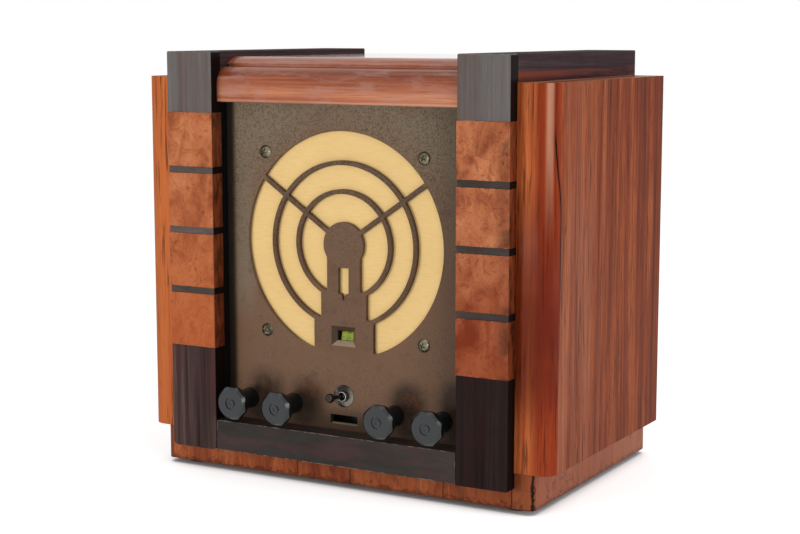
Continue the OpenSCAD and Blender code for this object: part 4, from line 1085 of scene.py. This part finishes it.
@dataclass
class Controls:
    """Knobs, spindles and the toggle switch."""

    ring: float = 0.0045
    wire: float = 0.0005
    ring_y: float = -0.1246
    toggle_z: float = 0.0923

    def dress(self) -> None:
        """Gives the controls their finishes."""
        knobs = ("volume", "tuning", "wave", "tone")
        dress(Moulded("knob_bakelite", srgb(12, 17, 20), srgb(34, 41, 45), 0.24, 0.15, 0.02, rim=0.7, grit=0.000006),
              *(name + "_knob" for name in knobs))
        dress(Metal("spindle_steel", srgb(170, 168, 160), srgb(100, 92, 80), 0.3, 0.3, (1, 0.05, 1)),
              *(name + "_spindle" for name in knobs))
        dress(Metal("worn_nickel", srgb(124, 120, 110), srgb(38, 35, 31), 0.28, 0.9, hollow_dark=0.8), "toggle_plate")
        dress(Moulded("lever_black", srgb(8, 7, 7), srgb(26, 24, 22), 0.16, 0.0, 0.02, grit=0.000004, shine=0.45),
              "toggle_lever")
        dress(Moulded("switch_black", srgb(24, 22, 20), srgb(80, 70, 54), 0.4, 0.2), "toggle_body")
        dress(Metal("control_case", srgb(150, 150, 146), srgb(96, 90, 78), 0.4), "control_bodies")

    def collar(self) -> Piece:
        """Makes the bright ring round the end of the toggle switch's bush.

        Returns:
            The ring.
        """
        clear_selection()
        bpy.ops.mesh.primitive_torus_add(major_segments=64, minor_segments=12, major_radius=self.ring,
                                         minor_radius=self.wire, location=(0, self.ring_y, self.toggle_z),
                                         rotation=(math.pi / 2, 0, 0))
        piece = bpy.context.object
        piece.name = "toggle_ring"
        settle(piece)
        bpy.ops.object.shade_smooth()
        coat(piece, Metal("bright_nickel", srgb(214, 208, 196), srgb(120, 112, 96), 0.2, 0.3))
        return piece

    def build(self) -> None:
        """Makes and places the ring."""
        ring = self.collar()
        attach(ring, "cabinet")
        LOG.info("toggle ring made")


@dataclass
class Works:
    """The chassis and everything on it."""

    drum_y: float = -0.079255
    drum_z: float = 0.145
    wheel_x: float = -0.0594
    wheel_r: float = 0.0225
    pulley_z: float = 0.079
    pulley_r: float = 0.00375
    cord_r: float = 0.0004
    strands: int = 3
    twist: float = 0.0018
    stride: float = 0.00025
    numbers_made: int = 19
    number_step: int = 5
    number_start: float = 270
    number_size: float = 0.0052
    number_x: float = 0.0018
    number_turn: float = 10
    ink: float = 0.00003

    def dress(self) -> None:
        """Gives the works their finishes."""
        dress(Metal("chassis_steel", srgb(160, 158, 152), srgb(112, 100, 82), 0.42, 0.5), "chassis", "capacitor_frame")
        # Dark paint on the walls, which also stands in for the shade inside the case.
        dress(Metal("chassis_paint_and_shade", srgb(58, 58, 56), srgb(40, 36, 32), 0.6, 0.4, metallic=0.0), "chassis_walls")
        dress(Metal("vane_aluminium", srgb(200, 200, 198), srgb(150, 148, 142), 0.3, 0.3), "capacitor_stators",
              "capacitor_rotor", "chassis_cans")
        dress(Metal("core_iron", srgb(84, 80, 76), srgb(60, 48, 38), 0.5, 0.6, (1, 0.02, 1)), "transformer_core",
              "output_transformer")
        dress(Moulded("black_enamel", srgb(32, 32, 34), srgb(90, 84, 74), 0.34, 0.3), "transformer_shrouds",
              "speaker_basket")
        dress(Metal("magnet_steel", srgb(92, 94, 98), srgb(60, 52, 44), 0.5, 0.5), "speaker_magnet")
        dress(Board("waxed_board", srgb(186, 152, 98), srgb(120, 90, 52), fleck=200, rough=0.5), "capacitor_blocks")
        dress(Moulded("drum_card", srgb(206, 200, 180), srgb(150, 140, 118), 0.5, 0.1), "dial_drum")
        dress(DialFilm("dial_film", srgb(144, 160, 46), srgb(20, 26, 10), self.drum_y, self.drum_z), "dial_scale")
        dress(Metal("cast_brass", srgb(196, 160, 92), srgb(120, 88, 46), 0.3, 0.4), "cord_wheel", "socket_tubes",
              "dial_lamp")
        dress(Glass("valve_glass", srgb(226, 232, 232), srgb(120, 116, 108), 0.196, 0.214), "valve_glasses")
        dress(Moulded("valve_bakelite", srgb(42, 26, 20), srgb(110, 92, 70), 0.3, 0.3), "valve_bases", "valve_sockets")
        dress(Board("strip_board", srgb(110, 70, 42), srgb(70, 42, 24), (0.2, 1, 1), 500, 0.45), "socket_strip")

    def route(self) -> list[tuple[Vector, Vector]]:
        """Lays out the drive cord's closed route, as its CAD solid has it.

        Returns:
            Points and their outward directions, a stride apart.
        """
        low = math.asin(self.wheel_r / (self.drum_z - self.pulley_z))
        corners: list[tuple[float, float, float, float]] = []
        for radius, up, start, sweep, steps in ((self.wheel_r, self.drum_z, -low, math.pi + 2 * low, 120),
                                                (self.pulley_r, self.pulley_z, math.pi, math.pi, 60)):
            for step in range(steps + 1):
                across, rise = math.cos(start + sweep * step / steps), math.sin(start + sweep * step / steps)
                corners.append((radius * across, up + radius * rise, across, rise))
        corners.append(corners[0])
        found: list[tuple[Vector, Vector]] = []
        for first, last in zip(corners, corners[1:]):
            pieces = max(1, round(math.hypot(last[0] - first[0], last[1] - first[1]) / self.stride))
            for number in range(pieces):
                y, z, across, up = (a + (b - a) * number / pieces for a, b in zip(first, last))
                found.append((Vector((self.wheel_x, self.drum_y + y, z)), Vector((0, across, up)).normalized()))
        return found

    def cord(self) -> Piece:
        """Makes the drive cord of twisted strands.

        Returns:
            The cord.
        """
        route = self.route()
        gaps = [(last[0] - first[0]).length for first, last in zip(route, route[1:] + route[:1])]
        turns = round(sum(gaps) / self.twist)
        clear_selection()
        bpy.ops.curve.primitive_nurbs_path_add()
        piece = bpy.context.object
        piece.name = "twisted_drive_cord"
        curve = piece.data
        curve.splines.clear()
        curve.bevel_depth = self.cord_r / 2
        curve.bevel_resolution = 1
        for strand in range(self.strands):
            line = curve.splines.new("POLY")
            line.points.add(len(route) - 1)
            line.use_cyclic_u = True
            done = 0.0
            for spot, (point, out), gap in zip(line.points, route, gaps):
                turn = FULL_TURN * (turns * done / sum(gaps) + strand / self.strands)
                offset = out * math.cos(turn) + Vector((1, 0, 0)) * math.sin(turn)
                spot.co = (*(point + offset * self.cord_r / 2), 1)
                done += gap
        bpy.ops.object.convert(target="MESH")
        piece = bpy.context.object
        settle(piece)
        coat(piece, Board("cord_yarn", srgb(196, 170, 124), srgb(120, 96, 60), fleck=1500))
        return piece

    def numbers(self) -> Piece:
        """Prints plain numbers round the drum's film.

        Returns:
            The numbers as one thin mesh.
        """
        film_low, film_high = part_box("dial_scale")
        outer = (film_high[2] - film_low[2]) / 2 + self.ink
        made: list[Piece] = []
        for step in range(self.numbers_made):
            clear_selection()
            bpy.ops.object.text_add(location=(0, 0, 0))
            text = bpy.context.object.data
            text.body = str(self.number_step * (step + 1))
            text.size = self.number_size
            text.align_x = text.align_y = "CENTER"
            bpy.ops.object.convert(target="MESH")
            made.append(bpy.context.object)
            settle(made[-1])
            for corner in made[-1].data.vertices:
                across, up, _ = corner.co
                turn = math.radians(self.number_start - self.number_turn * step) - up / outer
                corner.co = (across + self.number_x, self.drum_y + outer * math.cos(turn),
                             self.drum_z + outer * math.sin(turn))
        take(made[0])
        for text in made:
            text.select_set(True)
        bpy.ops.object.join()
        piece = bpy.context.object
        piece.name = "dial_numbers"
        coat(piece, Board("number_ink", srgb(30, 34, 18), srgb(20, 22, 12), fleck=2000, rough=0.6))
        return piece

    def build(self) -> None:
        """Makes and places the cord and the numbers."""
        cord = self.cord()
        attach(cord, "cabinet")
        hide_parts("drive_cord")
        numbers = self.numbers()
        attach(numbers, "gang")
        LOG.info("drive cord and dial numbers made")


@dataclass
class Cone:
    """The loudspeaker's paper cone: a rolled edge, a ribbed flare, a coil former and a domed cap."""

    y: float = -0.1048
    z: float = 0.265
    rim: float = 0.0793
    roll: float = 0.0785
    roll_width: float = 0.0042
    flare: float = 0.0740
    flare_width: float = 0.0612
    flare_depth: float = 0.0396
    ribs: int = 9
    rib: float = 0.00028
    coil: float = 0.0126
    coil_ends: Span = (0.0440, 0.0558)
    cap: float = 0.0124
    cap_foot: float = 0.0412
    cap_rise: float = 0.0046
    wall: float = 0.0004

    def profile(self) -> list[Span]:
        """Lays out the cone's section.

        Returns:
            Radius and depth of each point, from the rim to the coil's end.
        """
        points: list[Span] = [(self.rim, 0.0004), (self.roll, 0.0006)]
        for step in range(13):
            part = step / 12
            points.append((self.roll - self.roll_width * part,
                           0.0007 + 0.0010 * math.sin(math.pi * part) + 0.0009 * part))
        for step in range(61):
            part = step / 60
            rib = self.rib * math.sin(FULL_TURN * self.ribs * part) * (1 if 0.05 < part < 0.95 else 0)
            points.append((self.flare - self.flare_width * part, 0.0018 + self.flare_depth * part + rib))
        return points + [(self.coil, end) for end in self.coil_ends]

    def turned(self) -> Piece:
        """Turns the cone and its cap.

        Returns:
            The cone.
        """
        quarter = [math.pi / 2 * step / 12 for step in range(13)]
        dome = [(self.cap * math.cos(turn), self.cap_foot - self.cap_rise * math.sin(turn)) for turn in quarter]
        points: list[Point] = []
        edges: list[tuple[int, int]] = []
        for section in (self.profile(), dome):
            edges += [(number, number + 1) for number in range(len(points), len(points) + len(section) - 1)]
            points += [(radius, self.y + depth, self.z) for radius, depth in section]
        mesh = bpy.data.meshes.new("paper_cone")
        mesh.from_pydata(points, edges, [])
        piece = bpy.data.objects.new("paper_cone", mesh)
        bpy.context.scene.collection.objects.link(piece)
        take(piece)
        bpy.ops.object.mode_set(mode="EDIT")
        bpy.ops.mesh.select_all(action="SELECT")
        bpy.ops.mesh.spin(steps=96, angle=FULL_TURN, center=(0, self.y, self.z), axis=(0, 1, 0))
        bpy.ops.mesh.select_all(action="SELECT")
        bpy.ops.mesh.remove_doubles(threshold=0.00001)
        bpy.ops.mesh.normals_make_consistent(inside=False)
        bpy.ops.object.mode_set(mode="OBJECT")
        thicken(piece, self.wall)
        bpy.ops.object.shade_smooth_by_angle(angle=math.radians(40))
        coat(piece, Board("cone_pulp", srgb(64, 58, 52), srgb(38, 34, 30), fleck=700))
        return piece

    def build(self) -> None:
        """Makes and places the cone."""
        cone = self.turned()
        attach(cone, "cabinet")
        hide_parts("speaker_cone")
        LOG.info("paper cone made")


def seen(tree: bpy.types.NodeTree) -> Socket:
    """Tells what is looked at or mirrored from light that falls on the pieces.

    Args:
        tree: The node tree to work in.

    Returns:
        1 for the camera's, glossy and transmission rays, or 0.
    """
    rays = tree.nodes.new("ShaderNodeLightPath").outputs
    found: Socket = rays["Is Camera Ray"]
    for name in ("Is Glossy Ray", "Is Transmission Ray"):
        either = tree.nodes.new("ShaderNodeMath")
        either.operation = "MAXIMUM"
        tree.links.new(found, either.inputs[0])
        tree.links.new(rays[name], either.inputs[1])
        found = either.outputs["Value"]
    return found


@dataclass
class Studio:
    """White studio: floor, sky, lamps and the camera."""

    eye: Point = (0.8680, -1.5411, 0.4584)
    azimuth: float = 29.484
    elevation: float = 8.047
    lens: float = 76.10
    film: float = 36
    whitening: float = 0.58
    level: float = 0.42
    contact_shade_reach: float = 0.022
    middle: Point = (0, 0, 0.22)

    def camera(self) -> None:
        """Places the camera where the photograph was taken from."""
        lens = bpy.data.cameras.new("camera")
        lens.lens = self.lens
        lens.sensor_width = self.film
        lens.clip_end = 50
        holder = bpy.data.objects.new("camera", lens)
        holder.location = self.eye
        holder.rotation_euler = (math.radians(90 - self.elevation), 0, math.radians(self.azimuth))
        bpy.context.scene.collection.objects.link(holder)
        bpy.context.scene.camera = holder

    def floor(self) -> None:
        """Makes the pale floor, with a painted contact shade where its whitening fades close to the set."""
        clear_selection()
        bpy.ops.mesh.primitive_plane_add(size=12, location=(0, 1.5, 0))
        plane = bpy.context.object
        plane.name = "studio_floor"
        g = Graph("studio_floor")
        g.colour = g.mix(g.band(g.noise(3), 0.3, 0.7), srgb(250, 250, 250), srgb(246, 246, 246))
        g.finish(0.9)
        # Painted contact shade: the whitening fades where the floor lies close to the set.
        open_air = g.band(g.hollows(self.contact_shade_reach, 8, False), 0.25, 0.75)
        white = g.add("Emission", {"Strength": g.times(seen(g.tree), open_air, self.whitening)})
        both = g.add("AddShader", {0: g.shader.outputs["BSDF"], 1: white.outputs["Emission"]})
        g.link(both.outputs["Shader"], g.output, "Surface")
        plane.data.materials.append(g.material)

    def sky(self) -> None:
        """Sets the white surroundings, dimmer for the light that falls on the pieces."""
        world = bpy.data.worlds.new("studio")
        bpy.context.scene.world = world
        world.use_nodes = True
        tree = world.node_tree
        tree.nodes.clear()
        blend = tree.nodes.new("ShaderNodeMixShader")
        tree.links.new(seen(tree), blend.inputs[0])
        for number, strength in enumerate((self.level, 1.0)):
            shade = tree.nodes.new("ShaderNodeBackground")
            shade.inputs["Color"].default_value = (1, 1, 1, 1)
            shade.inputs["Strength"].default_value = strength
            tree.links.new(shade.outputs["Background"], blend.inputs[1 + number])
        output = tree.nodes.new("ShaderNodeOutputWorld")
        tree.links.new(blend.outputs["Shader"], output.inputs["Surface"])

    def lamp(self, name: str, place: Point, size: Span, power: float, mirrored: bool = True) -> None:
        """Adds a soft rectangular lamp that points at the set.

        Args:
            name: The lamp's name.
            place: Where it stands.
            size: Width and height.
            power: Watts.
            mirrored: Whether polished faces show it.
        """
        light = bpy.data.lights.new(name, "AREA")
        light.shape = "RECTANGLE"
        light.size, light.size_y = size
        light.energy = power
        holder = bpy.data.objects.new(name, light)
        holder.location = place
        holder.visible_glossy = mirrored
        holder.rotation_euler = (Vector(self.middle) - Vector(place)).to_track_quat("-Z", "Y").to_euler()
        bpy.context.scene.collection.objects.link(holder)

    def build(self) -> None:
        """Sets up the studio."""
        bpy.context.scene.view_settings.view_transform = "Standard"
        self.camera()
        self.floor()
        self.sky()
        self.lamp("front_box", (-0.85, -2.1, 0.26), (0.8, 0.45), 19, False)
        self.lamp("right_box", (2.0, 0.25, 0.32), (0.7, 0.5), 14, False)
        self.lamp("edge_box", (1.5, -1.35, 0.62), (0.10, 0.8), 4)
        self.lamp("top_box", (0.1, -0.2, 2.4), (2.0, 1.6), 8)
        LOG.info("studio set")


def main() -> None:
    """Builds the studio and the set, and reports each piece."""
    logging.basicConfig(level=logging.INFO, format="%(name)s: %(message)s")
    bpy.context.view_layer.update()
    Studio().build()
    Cabinet().dress()
    for part in (Front(), Controls(), Works()):
        part.dress()
        part.build()
    Cone().build()


if __name__ == "__main__":
    main()
